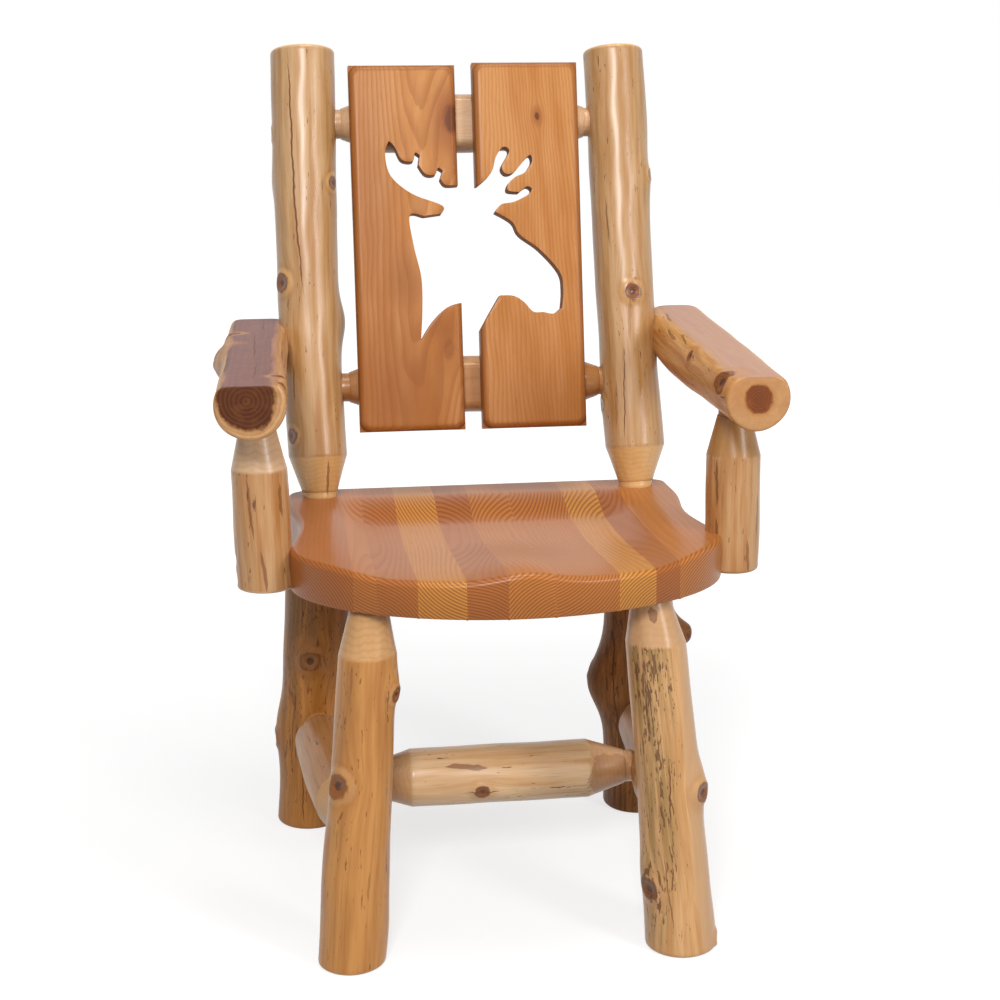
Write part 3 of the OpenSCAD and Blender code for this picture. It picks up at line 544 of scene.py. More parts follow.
@dataclass(frozen=True)
class BoardFinish:
    """Sawn and sanded cedar board, under several coats of gloss lacquer.

    The eye sees fine parallel rings along the face, arches where they run out of it, arcs on the
    ends, slow changes of its orange brown, a painted pinkish sheen on the seat's top, painted shade
    on the slats' rounded edges and low parts, and a smooth shine.
    """
    name: str
    early: str = "#c0864f"
    late: str = "#8c4f1c"
    warm: str = "#a96829"
    dark: str = "#834718"
    painted_sheen_tint: str = "#bd8a6a"
    knot_halo: str = "#8a4a22"
    knot_eye: str = "#552811"
    ring_width: float = 5.0
    ring_depth: float = 0.44
    wander: float = 8.0
    # Each knot's place across and along, its size, and how dark its middle is
    knots: tuple[tuple[float, float, float, float], ...] = ()
    coat_roughness: float = 0.29
    coat: float = 0.4
    roughness: float = 0.48
    tones: bool = False

    def build(self) -> bpy.types.Material:
        """Builds the material, whose rings lie round the middle of the piece's own grain.

        Returns:
            The finished material.
        """
        w = Wood(self.name, self.early)
        near = self.part_grain(w)
        drift, ripple = w.noise(60.0, 210.0, 11.0, 2.0), w.noise(9.0, 90.0, 31.0, 2.0)
        pores, tone = w.noise(0.9, 34.0, 71.0, 2.0), w.noise(34.0, 260.0, 91.0)
        across = w.vector("LENGTH", w.vector("MULTIPLY", w.grain, (1.0, 1.0, 0.0)), out="Value")
        radius = w.plus(across, w.times(drift, self.wander * 2.2))
        radius = w.plus(radius, w.times(ripple, self.wander * 0.2))
        turn = w.math("FRACT", w.math("DIVIDE", radius, self.ring_width))
        late = w.times(w.band(turn, 0.25, 0.9), w.band(turn, 1.0, 0.93))

        w.lay(self.warm, w.band(tone, 0.34, 0.68, 0.8))
        if self.tones:
            ramp = add(w.tree, "ShaderNodeValToRGB", None, Fac=w.kept("tone"))
            stops = ramp.color_ramp.elements
            stops[0].color, stops[1].color = linear(STAVE_TINTS[0]), linear(STAVE_TINTS[-1])
            for place, tint in zip((0.35, 0.65), STAVE_TINTS[1:-1]):
                stops.new(place).color = linear(tint)
            w.lay(ramp.outputs[0], 0.8)
            # Along its top the grain is faint, and across its walls it is plain; a painted pinkish sheen lies on its
            # top
            late = w.times(late, w.band(w.kept("cut"), -0.12, 0.36))
            w.lay(self.painted_sheen_tint, w.times(w.kept("painted_sheen"), 0.44))
        w.lay(self.late, w.times(late, self.ring_depth))
        w.lay(self.late, w.band(pores, 0.5, 0.85, 0.35))
        # Painted shade on the slats' rounded edges, on their faces behind the front and low down, with the wood's own
        # dark patches
        w.lay(self.dark, w.kept("shade_and_patches"))
        for reach, eye_share in near:
            eye = w.plus(reach, w.swing(pores, 0.35))
            w.lay(self.knot_halo, w.band(eye, 1.7, 0.4, 0.7 * eye_share))
            w.lay(self.knot_eye, w.band(eye, 0.6, 0.3, eye_share))
        return w.lacquered(w.times(w.plus(late, pores), -0.05), 0.6, self.roughness, self.coat, self.coat_roughness)

    def part_grain(self, w: Wood) -> list[tuple[Socket, float]]:
        """Spreads the grain round each knot.

        Args:
            w: The finish's nodes, whose grain is changed.

        Returns:
            For each knot the distance from its middle, and how dark that middle is.
        """
        near: list[tuple[Socket, float]] = []
        straight = w.grain
        for x, along, size, eye_share in self.knots:
            off = w.vector("SUBTRACT", straight, (x, 0.0, along))
            reach = w.vector("LENGTH", w.vector("MULTIPLY", off, (1 / size, 0.0, 0.55 / size)), out="Value")
            near.append((reach, eye_share))
            pull = w.math("EXPONENT", w.times(w.times(reach, reach), -0.35))
            push = w.vector("MULTIPLY", off, (0.92, 0.0, 0.0))
            shift = add(w.tree, "ShaderNodeVectorMath", {"operation": "SCALE"}, in_0=push, Scale=pull).outputs[0]
            w.grain = w.vector("SUBTRACT", w.grain, shift)
        return near


@dataclass(frozen=True)
class SteelFinish:
    """Zinc-plated steel, turned: a pale grey metal with fine circular marks and a dull shine."""
    name: str = "zinc_plated_steel"
    colour: str = "#b9bcc0"
    dull: str = "#8e9196"

    def build(self) -> bpy.types.Material:
        """Builds the material, with plating blooms about 4 mm across and tool marks 0.3 mm apart.

        Returns:
            The finished material.
        """
        material, tree = new_material(self.name)
        place = add(tree, "ShaderNodeTexCoord").outputs["Object"]
        bloom = add(tree, "ShaderNodeTexNoise", None, Vector=place, Scale=250.0, Detail=3.0).outputs["Fac"]
        marks = add(tree, "ShaderNodeTexNoise", None, Vector=place, Scale=3300.0, Detail=1.0).outputs["Fac"]
        colour = add(tree, "ShaderNodeMix", {"data_type": "RGBA"}, in_0=bloom, in_6=linear(self.colour),
                     in_7=linear(self.dull)).outputs[2]
        rough = add(tree, "ShaderNodeMapRange", None, Value=bloom, To_Min=0.28, To_Max=0.5).outputs[0]
        bump = add(tree, "ShaderNodeBump", None, Strength=0.3, Distance=0.1 * MM, Height=marks)
        steel = add(tree, "ShaderNodeBsdfPrincipled", None, Base_Color=colour, Metallic=1.0, Roughness=rough,
                    Normal=bump.outputs[0])
        add(tree, "ShaderNodeOutputMaterial", None, Surface=steel.outputs[0])
        return material


@dataclass
class Log:
    """A peeled log from one point to another, with its swellings, knots and checks.

    finish is the name of its finish, and seed sets its small waves. swellings are distance along,
    angle round, height, half length and half width in degrees. level says that its rings lie
    level, as on a leg that stands on the floor. flats are planes that the log is planed down to,
    each a point and a direction out of the wood. pith is how far the rings' middle lies from the
    log's own, and soft is how far its planed edges are rounded.
    """
    name: str
    node: str
    finish: str
    start: Point
    end: Point
    radii: tuple[float, float]
    first: LogEnd
    last: LogEnd
    seed: float
    slot: str = "log_wood"
    swellings: Sequence[Sequence[float]] = ()
    bow: tuple[float, float] = (0.0, 0.0)
    level: bool = False
    flats: Sequence[tuple[Point, Point]] = ()
    knots: Sequence[Knot] = ()
    lines: Sequence[Line] = ()
    # Where brown inner bark stays, and low on the rear right leg painted shade: distance along, angle, half length,
    # half width in degrees, amount
    bark: Sequence[Sequence[float]] = ()
    # Counterbores: a point outside the log, the seat of the screw's head, and a radius
    bores: Sequence[tuple[Point, Point, float]] = ()
    pith: tuple[float, float] = (0.0, 0.0)
    soft: float = 3.0
    sides: int = 112
    step: float = 2.6
    far: float = 3.0                # what counts as away from every knot, in knot sizes

    def __post_init__(self) -> None:
        """Works out the log's own axes, as its solid has them."""
        self.a = np.array(self.start, float)
        run = np.array(self.end, float) - self.a
        self.length = float(np.linalg.norm(run))
        self.way = run / self.length
        if self.level:
            self.u, self.v = np.array([1.0, 0, 0]), np.array([0, 1.0, 0])
        else:
            ref = np.array([1.0, 0, 0]) if abs(self.way[2]) > 0.7 else np.array([0, 0, 1.0])
            self.u = ref - self.way * ref.dot(self.way)
            self.u /= np.linalg.norm(self.u)
            self.v = np.cross(self.way, self.u)

    def reach(self, s: np.ndarray, end: LogEnd) -> np.ndarray:
        """Gives how far a shaped end has come from its tip's radius to the full one."""
        t = np.clip(s / end.length, 0, 1)
        return np.sqrt(1 - (1 - t) ** 2) if end.form is EndForm.SAWN else t

    def sway(self, s: np.ndarray) -> np.ndarray:
        """Gives the share of the log's bow at distances along it."""
        return np.sin(np.pi * np.clip(s, 0, self.length) / self.length)

    def body(self, s: np.ndarray, angle: np.ndarray) -> np.ndarray:
        """Gives the radius without the shaped ends, with small waves left by the drawknife.

        Args:
            s: Distances along the log.
            angle: Angles round it, in degrees.

        Returns:
            A radius for each place.
        """
        a = np.radians(angle)
        wave = (0.012 * np.sin(np.radians(0.8 * s + self.seed))
                + 0.01 * np.cos(np.radians(2 * angle + 0.5 * s + 2 * self.seed)))
        r = (self.radii[0] + (self.radii[1] - self.radii[0]) * s / self.length) * (1 + wave)
        for s0, a0, high, long, wide in self.swellings:
            r = r + high * np.exp(-((s - s0) / long) ** 2 - (turned(angle, a0) / wide) ** 2)
        r = r + 0.22 * np.sin(3 * a + s / 21 + self.seed) + 0.16 * np.sin(5 * a - s / 13 + self.seed)
        for k in self.knots:
            d = np.hypot(s - k.s, r * np.radians(turned(angle, k.angle))) / k.size
            r = r + k.rise * (np.exp(-((d - 1) / 0.45) ** 2) - 0.55 * np.exp(-(d / 0.6) ** 2))
        return r

    def radius(self, s: np.ndarray, angle: np.ndarray) -> np.ndarray:
        """Gives the radius with the shaped ends.

        Args:
            s: Distances along the log.
            angle: Angles round it, in degrees.

        Returns:
            A radius for each place.
        """
        body = self.body(s, angle)
        ka, kb = self.reach(s, self.first), self.reach(self.length - s, self.last)
        r = np.where(kb < 1, self.last.tip + (body - self.last.tip) * kb, body)
        return np.where(ka < 1, self.first.tip + (body - self.first.tip) * ka, r)

    def end_rows(self, end: LogEnd) -> list[tuple[float, float, float]]:
        """Gives the grid's rows from the middle of an end to where the log has its full radius.

        Args:
            end: The log's end.

        Returns:
            For each row the distance from the log's end, the share of the log's radius, and a
            radius of its own, which is 0 where the share counts.
        """
        if end.form is EndForm.SAWN:
            rows = [(0.0, share, 0.0) for share in (0.0, 0.14, 0.28, 0.42, 0.56, 0.68, 0.8, 0.9, 0.97)]
            return rows + [(t * end.length, 1.0, 0.0) for t in (0, 0.02, 0.08, 0.2, 0.38, 0.62, 1)]
        tenon = end.tip - TENON_STEP
        deep = -NECK - TENON_IN
        rows = [(deep, 0.0, 0.0)] + [(s, 1.0, tenon) for s in (deep, deep / 2, -0.4, 0.0)]
        rows += [(0.0, 1.0, end.tip - TENON_STEP / 2)]
        return rows + [(t * end.length, 1.0, 0.0) for t in np.linspace(0.01, 1, 16)]

    def mesh(self) -> bmesh.types.BMesh:
        """Models the log's skin as one grid that is rolled up and closed at both ends.

        Returns:
            The shape in construction millimetres.
        """
        head = self.end_rows(self.first)
        tail = [(self.length - s, share, own) for s, share, own in reversed(self.end_rows(self.last))]
        count = max(4, round((tail[0][0] - head[-1][0]) / self.step))
        middle = [(s, 1.0, 0.0) for s in np.linspace(head[-1][0], tail[0][0], count + 1)[1:-1]]
        rows = np.array(head + middle + tail)

        def place(row: np.ndarray, column: np.ndarray) -> np.ndarray:
            """Rolls the grid round the log's axis.

            Args:
                row: Numbers of rows along the log.
                column: Numbers of columns round it.

            Returns:
                The points.
            """
            s, share, own = rows[row].T
            angle = column % self.sides * 360.0 / self.sides
            within = np.clip(s, 0, self.length)
            r = share * np.where(own > 0, own, self.radius(within, angle))
            sway, rad = self.sway(s), np.radians(angle)
            p = self.a + np.outer(s, self.way)
            p += np.outer(r * np.cos(rad) + self.bow[0] * sway, self.u)
            p += np.outer(r * np.sin(rad) + self.bow[1] * sway, self.v)
            for point, out in self.flats:
                n = np.array(out, float)
                h = (p - np.array(point, float)) @ n
                e = np.maximum(self.soft - np.abs(h), 0) / self.soft
                p += np.outer(np.minimum(h, 0) - e * e * self.soft / 4 - h, n)
            return p

        bm = bmesh.new()
        lay_grid(bm, len(rows), self.sides + 1, place)
        bmesh.ops.remove_doubles(bm, verts=bm.verts, dist=0.01)
        bmesh.ops.recalc_face_normals(bm, faces=bm.faces)
        return bm

    def drill(self) -> bmesh.types.BMesh:
        """Models the counterbores that the screws' heads sit in.

        Returns:
            A cylinder for each, to be sawn out of the log.
        """
        bm = bmesh.new()
        for outer, inner, radius in self.bores:
            a, b = Vector(outer), Vector(inner)
            turn = (b - a).to_track_quat("Z", "X").to_matrix().to_4x4()
            bmesh.ops.create_cone(bm, cap_ends=True, segments=40, radius1=radius, radius2=radius,
                                  depth=(b - a).length, matrix=Matrix.Translation((a + b) / 2) @ turn)
        return bm

    def dress(self, mesh: bpy.types.Mesh) -> None:
        """Stores what the finish reads: the grain, the cuts, the knots and the lines.

        Args:
            mesh: The log's finished mesh.
        """
        p = places(mesh)
        s = (p[:, 2] - self.a[2]) / self.way[2] if self.level else (p - self.a) @ self.way
        off, sway = p - self.a - np.outer(s, self.way), self.sway(s)
        x, y = off @ self.u - self.bow[0] * sway, off @ self.v - self.bow[1] * sway
        angle, r = np.degrees(np.arctan2(y, x)), np.hypot(x, y)
        knot = np.full(len(p), self.far)
        bend, bark, planed_sheen = np.zeros((3, len(p)))
        for k in self.knots:
            side = r * np.radians(turned(angle, k.angle))
            behind = np.maximum(0, np.abs(side) - 60)       # a knot ends before the log's other side
            knot = np.minimum(knot, np.hypot(s - k.s, side) / k.size + behind)
            bend -= 0.8 * side * np.exp(-(side / (1.9 * k.size)) ** 2 - ((s - k.s) / (3.2 * k.size)) ** 2)
        thin = min(self.radii)
        own = np.radians(angle) + bend / np.maximum(r, 8) * smooth(0.6, 0.95, r / thin)
        store(mesh, "grain", np.column_stack([r * np.cos(own) - self.pith[0], r * np.sin(own) - self.pith[1],
                                              s + self.seed * 3.0]))
        store(mesh, "knot", np.where(r < 0.6 * thin, self.far, knot))
        for s0, a0, long, wide, amount in self.bark:
            bark += amount * np.exp(-((s - s0) / long) ** 4 - (turned(angle, a0) / wide) ** 4)
        store(mesh, "bark", np.clip(bark, -1, 1.5))
        cut = np.maximum(self.cut_share(s, self.first), self.cut_share(self.length - s, self.last))
        for point, out in self.flats:
            h = (p - np.array(point, float)) @ np.array(out, float)
            planed_sheen = np.maximum(planed_sheen, smooth(-0.2 * self.soft, -0.02, h))
            cut = np.maximum(cut, smooth(-0.37 * self.soft, -0.17 * self.soft, h))
        # Where the planed tops are, which the finish paints a sheen over
        store(mesh, "planed_sheen", planed_sheen)
        if self.bores:
            cut = np.maximum(cut, smooth(2.0, 4.0, self.radius(np.clip(s, 0, self.length), angle) - r))
        store(mesh, "cut", cut)
        for name, line in zip(LINE_LAYERS, list(self.lines) + [None] * len(LINE_LAYERS)):
            values = self.line_values(line, s, angle, r) if line else np.tile(NO_LINE, (len(p), 1))
            store(mesh, name, values)

    @staticmethod
    def cut_share(s: np.ndarray, end: LogEnd) -> np.ndarray:
        """Gives 1 where an end's saw or knife has cut across the grain, and 0 on the log's skin."""
        low, high = (1.5, 4.0) if end.form is EndForm.SAWN else (end.length - 2.5, end.length)
        return 1 - smooth(low, high, s)

    @staticmethod
    def line_values(line: Line, s: np.ndarray, angle: np.ndarray, r: np.ndarray) -> np.ndarray:
        """Gives what the finish draws a line from.

        Args:
            line: The line.
            s: Distances along the log.
            angle: Angles round it, in degrees.
            r: Distances from its axis.

        Returns:
            For each point the distance to the line's side, its half width there, and its darkness.
        """
        path = sorted(line.path)
        stops, angles = [q[0] for q in path], [q[1] for q in path]
        across = turned(angle, np.interp(s, stops, angles))
        wander = 0.5 * np.sin(s * 0.12 + stops[0]) + 0.28 * np.sin(s * 0.41)
        ends = max(4.0, 0.22 * (stops[-1] - stops[0]))
        fade = np.clip(np.minimum(s - stops[0], stops[-1] - s) / ends, -3, 1)
        half = line.width / 2 * fade - np.maximum(0, np.abs(across) - 55) * 0.6
        side = r * np.sin(np.radians(across)) + wander
        return np.column_stack([side, half, np.full(len(s), line.mark.value)])

    def build(self, material: bpy.types.Material) -> None:
        """Makes the log's piece and dresses it.

        Args:
            material: Its finish.
        """
        bm = self.mesh()
        if self.bores:
            bm = sawn_out(bm, self.drill(), 0.4)
        piece = make_object(bm, self.name, self.node, material)
        if self.bores:
            piece.data.set_sharp_from_angle(angle=math.radians(45))
        self.dress(piece.data)


@dataclass
class Seat:
    """The seat board of ten glued staves, scooped, with a pommel and a rounded nose."""
    front: float = -420.9
    back: float = 42.0
    half: float = 245.0
    nose: float = 165.0
    nose_power: float = 1.95
    corner: float = 33.0
    waist: float = 12.0
    waist_half: float = 105.0
    waist_ease: float = 13.0
    edge: float = 7.0
    edge_steps: tuple[float, ...] = (0, 0.25, 0.8, 1.7, 2.9, 4.6, 7.0)
    joint_dip: float = 0.1
    base_in: float = 2.0            # how far the underside's front and back edges are eased
    base_up: float = 2.5
    steepest: float = 40.0          # the steepest slope of the nose that counts
    scoop: float = 20.0
    rim: float = 56.0
    slope: float = 90.0
    pommel: float = 3.0
    widths: tuple[float, ...] = (66, 24, 42, 50, 43, 50, 70, 43, 30, 72)
    # Where each stave's rings are centred, from its middle and from the seat's underside
    hearts: tuple[tuple[float, float], ...] = (
        (-52, -28), (30, 88), (-44, -42), (56, 86), (-26, -50), (38, -34), (-58, 94), (40, -38), (-30, 84),
        (48, -46))
    # Where the painted pinkish sheen lies on the top: its middle across and in depth, and how far it reaches both
    # ways
    painted_sheen: tuple[float, float, float, float] = (-5.0, -210.0, 150.0, 190.0)
    tones: tuple[float, ...] = (0.12, 0.42, 0.22, 0.85, 0.12, 0.5, 0.42, 0.95, 0.1, 0.5)
    columns: int = 26
    rows: int = 150

    def nose_y(self, x: np.ndarray) -> np.ndarray:
        """Gives the front edge at a distance across the seat."""
        t = np.clip(np.abs(x) / self.half, 0, 1)
        return self.front + self.nose * (1 - (1 - t ** self.nose_power) ** (1 / self.nose_power))

    def rear_y(self, x: np.ndarray) -> np.ndarray:
        """Gives the back edge at a distance across the seat."""
        e = np.maximum(0, np.abs(x) - self.half + self.corner)
        return self.back - self.corner + np.sqrt(np.maximum(0, self.corner ** 2 - e ** 2))

    def side_x(self, y: np.ndarray) -> np.ndarray:
        """Gives the seat's half width at a depth, with the hollow cut into its side."""
        off = np.clip((y - self.front - self.nose - self.waist_half) / (self.waist_half + self.waist_ease), -1, 1)
        return self.half - self.waist * (0.5 + 0.5 * np.cos(np.pi * off))

    def top_z(self, x: np.ndarray, y: np.ndarray) -> np.ndarray:
        """Gives the height of the scooped top, without its rounded edge.

        Args:
            x: Distances across the seat.
            y: Depths.

        Returns:
            A height for each place.
        """
        off = np.abs(x) / self.half
        depth = (y - self.front) / (self.back - self.front)
        wall = smooth(0, 1, (self.back - self.rim - y) / self.slope)
        across = 1 - smooth(0, 1, (off - 0.55) / 0.29)
        valley = 1 - 0.7 * smooth(0, 1, (0.53 - depth) / 0.53)
        saddle = 1 - (1 + self.pommel / self.scoop) * smooth(0, 1, (0.55 - depth) / 0.51)
        middle = np.exp(-(off / 0.18) ** 2)
        return SEAT_TOP - self.scoop * wall * across * (valley + (saddle - valley) * middle)

    def stave_mesh(self, x0: float, x1: float) -> bmesh.types.BMesh:
        """Models one stave: its top as a grid, then its walls drawn down and its base filled.

        Args:
            x0: The stave's left side.
            x1: Its right side.

        Returns:
            The shape in construction millimetres.
        """
        count = len(self.edge_steps)
        share = np.linspace(0, 1, self.rows - 2 * count + 2)[1:-1]
        steps = np.array(self.edge_steps)

        def place(row: np.ndarray, column: np.ndarray) -> np.ndarray:
            """Spreads the grid over the stave, closer at the seat's edges.

            Args:
                row: Numbers of rows from the front to the back.
                column: Numbers of columns from the left to the right.

            Returns:
                The points.
            """
            t = column / (self.columns - 1)
            at_left, at_right = x0 <= -self.half + 1, x1 >= self.half - 1
            x = x0 + (x1 - x0) * (1 - (1 - t) ** 2 if at_right else t)
            if at_left:
                x = x1 - (x1 - x0) * (1 - t ** 2)
            f, b = self.nose_y(x), self.rear_y(x)
            last = self.rows - 1 - row
            y = np.where(row < count, f + steps[np.minimum(row, count - 1)],
                         b - steps[np.minimum(last, count - 1)])
            k = np.clip(row - count, 0, len(share) - 1)
            inner = (row >= count) & (last >= count)
            y = np.where(inner, f + self.edge + (b - f - 2 * self.edge) * share[k], y)
            limit = self.side_x(y)
            if at_left or at_right:
                sign, root = (-1, x1) if at_left else (1, x0)
                x = root + (x - root) * (sign * limit - root) / (sign * self.half - root)
            # The nose's steepness turns a depth into a distance square to its edge
            slope = self.nose_y(np.clip(np.abs(x) + 1, 0, self.half)) - self.nose_y(np.abs(x))
            square = (y - f) / np.sqrt(1 + np.minimum(slope, self.steepest) ** 2)
            e = np.clip(np.minimum(np.minimum(limit - np.abs(x), b - y), square), 0, self.edge)
            joint = np.where((column == 0) | (column == self.columns - 1), self.joint_dip, 0.0)
            return np.column_stack([x, y, self.top_z(x, y) - rounding(self.edge, e) - joint])

        bm = bmesh.new()
        lay_grid(bm, self.rows, self.columns, place)
        rim = [e for e in bm.edges if e.is_boundary]
        for down in (SEAT_BOTTOM + self.base_up, SEAT_BOTTOM):
            drawn = bmesh.ops.extrude_edge_only(bm, edges=rim)["geom"]
            for v in only(drawn, bmesh.types.BMVert):
                v.co.z = down
                if down == SEAT_BOTTOM and x0 < v.co.x < x1:
                    if v.co.y < self.front + self.nose:
                        v.co.y += self.base_in
                    elif v.co.y > 0:
                        v.co.y -= self.base_in
            rim = only(drawn, bmesh.types.BMEdge)
        bmesh.ops.contextual_create(bm, geom=rim)
        bmesh.ops.remove_doubles(bm, verts=bm.verts, dist=0.002)
        bmesh.ops.recalc_face_normals(bm, faces=bm.faces)
        return bm

    def build(self, material: bpy.types.Material) -> None:
        """Builds and dresses the ten staves.

        Args:
            material: Their finish.
        """
        edge = -sum(self.widths) / 2
        x0, y0, wide, deep = self.painted_sheen
        for i, (width, (dx, dz), tone) in enumerate(zip(self.widths, self.hearts, self.tones)):
            piece = make_object(self.stave_mesh(edge, edge + width), f"stave_{i + 1}", f"seat_stave_{i + 1}",
                                material)
            x, y, z = places(piece.data).T
            steep = np.abs(np.array([v.normal.y for v in piece.data.vertices]))
            # Each stave's grain leans and runs its own way
            grain = np.column_stack([x - edge - width / 2 - dx + y * 0.01 * (i % 3 - 1),
                                     z - SEAT_BOTTOM - dz + y * 0.012 * (i % 4 - 1.5),
                                     y * (1 if i % 2 else -1) + 700 * i])
            # The painted sheen is strongest mid seat, and only on faces that don't turn to the front or the back
            middle = 0.2 + 0.8 * np.exp(-((x - x0) / wide) ** 4 - ((y - y0) / deep) ** 4)
            for name, values in (("grain", grain), ("tone", np.full(len(x), tone)), ("cut", steep),
                                 ("painted_sheen", (1 - smooth(0.02, 0.24, steep)) * middle)):
                store(piece.data, name, values)
            piece.data.set_sharp_from_angle(angle=math.radians(48))
            edge += width


@dataclass
class Back:
    """The two slats with the head of a moose sawn out across them.

    Its own axes run across the back, up it from the seat's top, and out of its front. A side is
    -1 for the left slat and 1 for the right one.
    """
    width: float = 132.0
    lengths: tuple[float, float] = (453.0, 456.0)
    thick: float = 24.0
    gap: float = 22.0
    start: float = 78.0
    shift: float = -10.0
    moose_shift: float = 2.0
    clear: float = 5.0              # how far the sawn-out block stands out of the slats
    round_front: float = 8.5
    round_corner: float = 15.0
    edge_steps: tuple[float, ...] = (0, 1.0, 2.1, 3.4, 4.9, 6.6, 8.5, 11.0, 14.0)
    # Darker patches, across, up, half width, half height and depth of tone: the two broad low ones are painted shade,
    # the rest the wood's own
    patches: tuple[tuple[float, float, float, float, float], ...] = (
        (-92, 262, 28, 50, 0.62), (-50, 208, 26, 26, 0.66), (-100, 120, 80, 120, 0.64), (60, 110, 90, 90, 0.36),
        (-32, 464, 18, 40, 0.4), (-125, 330, 24, 260, 0.35))
    # The moose's head from the middle of the gap and the slats' lower ends, one curve a stroke
    strokes: tuple[tuple[tuple[float, float], ...], ...] = (
        ((-98, 359), (-103, 343), (-97, 316), (-72, 294), (-39, 281), (-32, 275), (-36, 268)),
        ((-57, 266), (-75, 267), (-71, 229), (-63, 190), (-63, 150), (-66, 112)),
        ((-66, 112), (-50, 136), (-31, 153), (-8, 159)),
        ((8, 121), (22, 145), (35, 166)),
        ((35, 166), (52, 165), (65, 157), (76, 145), (89, 144), (102, 142), (113, 149)),
        ((113, 149), (115, 172), (111, 194), (87, 222), (62, 241), (53, 257), (32, 270)),
        ((32, 270), (40, 279), (56, 282), (73, 290), (79, 297), (73, 301), (63, 294)),
        ((63, 294), (49, 296), (50, 305), (59, 313), (70, 318), (80, 331), (78, 340), (69, 332)),
        ((69, 332), (57, 319), (47, 317), (42, 326), (52, 345), (44, 350), (35, 338), (28, 318), (9, 301)),
        ((-12, 304), (-29, 304), (-36, 313)),
        ((-32, 322), (-38, 325), (-42, 317), (-54, 318), (-63, 331)),
        ((-60, 341), (-66, 344), (-69, 334), (-83, 336), (-91, 352), (-98, 359)),
    )
    jump: int = 2                   # the stroke whose end is kept, where the outline crosses the gap

    @staticmethod
    def to_chair() -> Matrix:
        """Gives the turn and shift from the back's own axes to the chair's."""
        c, s = math.cos(LEAN), math.sin(LEAN)
        return Matrix(((1, 0, 0, 0), (0, s, -c, 0), (0, c, s, SEAT_TOP), (0, 0, 0, 1)))

    def length(self, side: int) -> float:
        """Gives a slat's length."""
        return self.lengths[0 if side < 0 else 1]

    def middle(self, side: int) -> float:
        """Gives where the middle of a slat's width lies."""
        return self.shift + side * (self.gap + self.width) / 2

    def outline(self, steps: int = 6) -> list[tuple[float, float]]:
        """Runs a smooth curve through each stroke of the moose.

        Args:
            steps: How many points are laid from one given point to the next.

        Returns:
            The outline's points, across and up.
        """
        points: list[tuple[float, float]] = []
        for n, stroke in enumerate(self.strokes):
            p = np.array(stroke, float)
            for i in range(len(p) - 1):
                a, b, c, d = p[max(0, i - 1)], p[i], p[i + 1], p[min(len(p) - 1, i + 2)]
                for t in np.arange(steps) / steps:
                    q = 0.5 * (2 * b + (c - a) * t + (2 * a - 5 * b + 4 * c - d) * t ** 2
                               + (3 * b - a - 3 * c + d) * t ** 3)
                    points.append((float(q[0]), float(q[1])))
            if n == self.jump:
                points.append(stroke[-1])
        return points

    def moose(self) -> bmesh.types.BMesh:
        """Models the head as a block to be sawn out of the slats.

        Returns:
            The block in the back's own axes.
        """
        bm = bmesh.new()
        loop = [bm.verts.new((x + self.shift + self.moose_shift, y + self.start, SLATS_REAR - self.clear))
                for x, y in self.outline()]
        drawn = bmesh.ops.extrude_face_region(bm, geom=[bm.faces.new(loop)])["geom"]
        bmesh.ops.translate(bm, verts=only(drawn, bmesh.types.BMVert), vec=(0, 0, self.thick + 2 * self.clear))
        bmesh.ops.recalc_face_normals(bm, faces=bm.faces)
        return bm

    def stops(self, size: float, count: int) -> np.ndarray:
        """Gives places from one edge of a slat to the other, closer together at both edges."""
        near = np.array(self.edge_steps)
        return np.concatenate([near, np.linspace(near[-1], size - near[-1], count)[1:-1], (size - near)[::-1]])

    def slat(self, side: int) -> bmesh.types.BMesh:
        """Models one slat: a board with rounded front edges, sawn out, its sawn edges eased.

        Args:
            side: Which slat.

        Returns:
            The slat in the back's own axes.
        """
        left = self.middle(side) - self.width / 2
        across, along = self.stops(self.width, 15), self.stops(self.length(side), 48)

        def place(row: np.ndarray, column: np.ndarray) -> np.ndarray:
            """Spreads the grid over the slat's front.

            Args:
                row: Numbers of rows across the slat.
                column: Numbers of columns along it.

            Returns:
                The points.
            """
            x, y = left + across[row], self.start + along[column]
            e = np.clip(self.inset(side, x, y), 0, self.round_front)
            return np.column_stack([x, y, SLATS_REAR + self.thick - rounding(self.round_front, e)])

        bm = bmesh.new()
        lay_grid(bm, len(across), len(along), place)
        drawn = bmesh.ops.extrude_edge_only(bm, edges=[e for e in bm.edges if e.is_boundary])["geom"]
        for v in only(drawn, bmesh.types.BMVert):
            v.co.z = SLATS_REAR
        bmesh.ops.contextual_create(bm, geom=only(drawn, bmesh.types.BMEdge))
        bmesh.ops.recalc_face_normals(bm, faces=bm.faces)
        return sawn_out(bm, self.moose(), 0.8)

    def inset(self, side: int, x: np.ndarray, up: np.ndarray) -> np.ndarray:
        """Gives how far places are in from a slat's border, as if the border had round corners.

        Args:
            side: Which slat.
            x: Distances across the back.
            up: Distances up it.

        Returns:
            A distance for each place.
        """
        dx = self.width / 2 - np.abs(x - self.middle(side))
        dy = np.minimum(up - self.start, self.start + self.length(side) - up)
        cx, cy = np.maximum(self.round_corner - dx, 0), np.maximum(self.round_corner - dy, 0)
        return np.where((cx > 0) & (cy > 0), self.round_corner - np.hypot(cx, cy), np.minimum(dx, dy))

    def shade_and_patches(self, side: int, x: np.ndarray, up: np.ndarray, out: np.ndarray) -> np.ndarray:
        """Gives the painted shade on a slat's rounded edges and on faces behind its front, and its patches.

        Args:
            side: Which slat.
            x: Distances across the back.
            up: Distances up it.
            out: Distances out of its front.

        Returns:
            A share for each place.
        """
        front = SLATS_REAR + self.thick
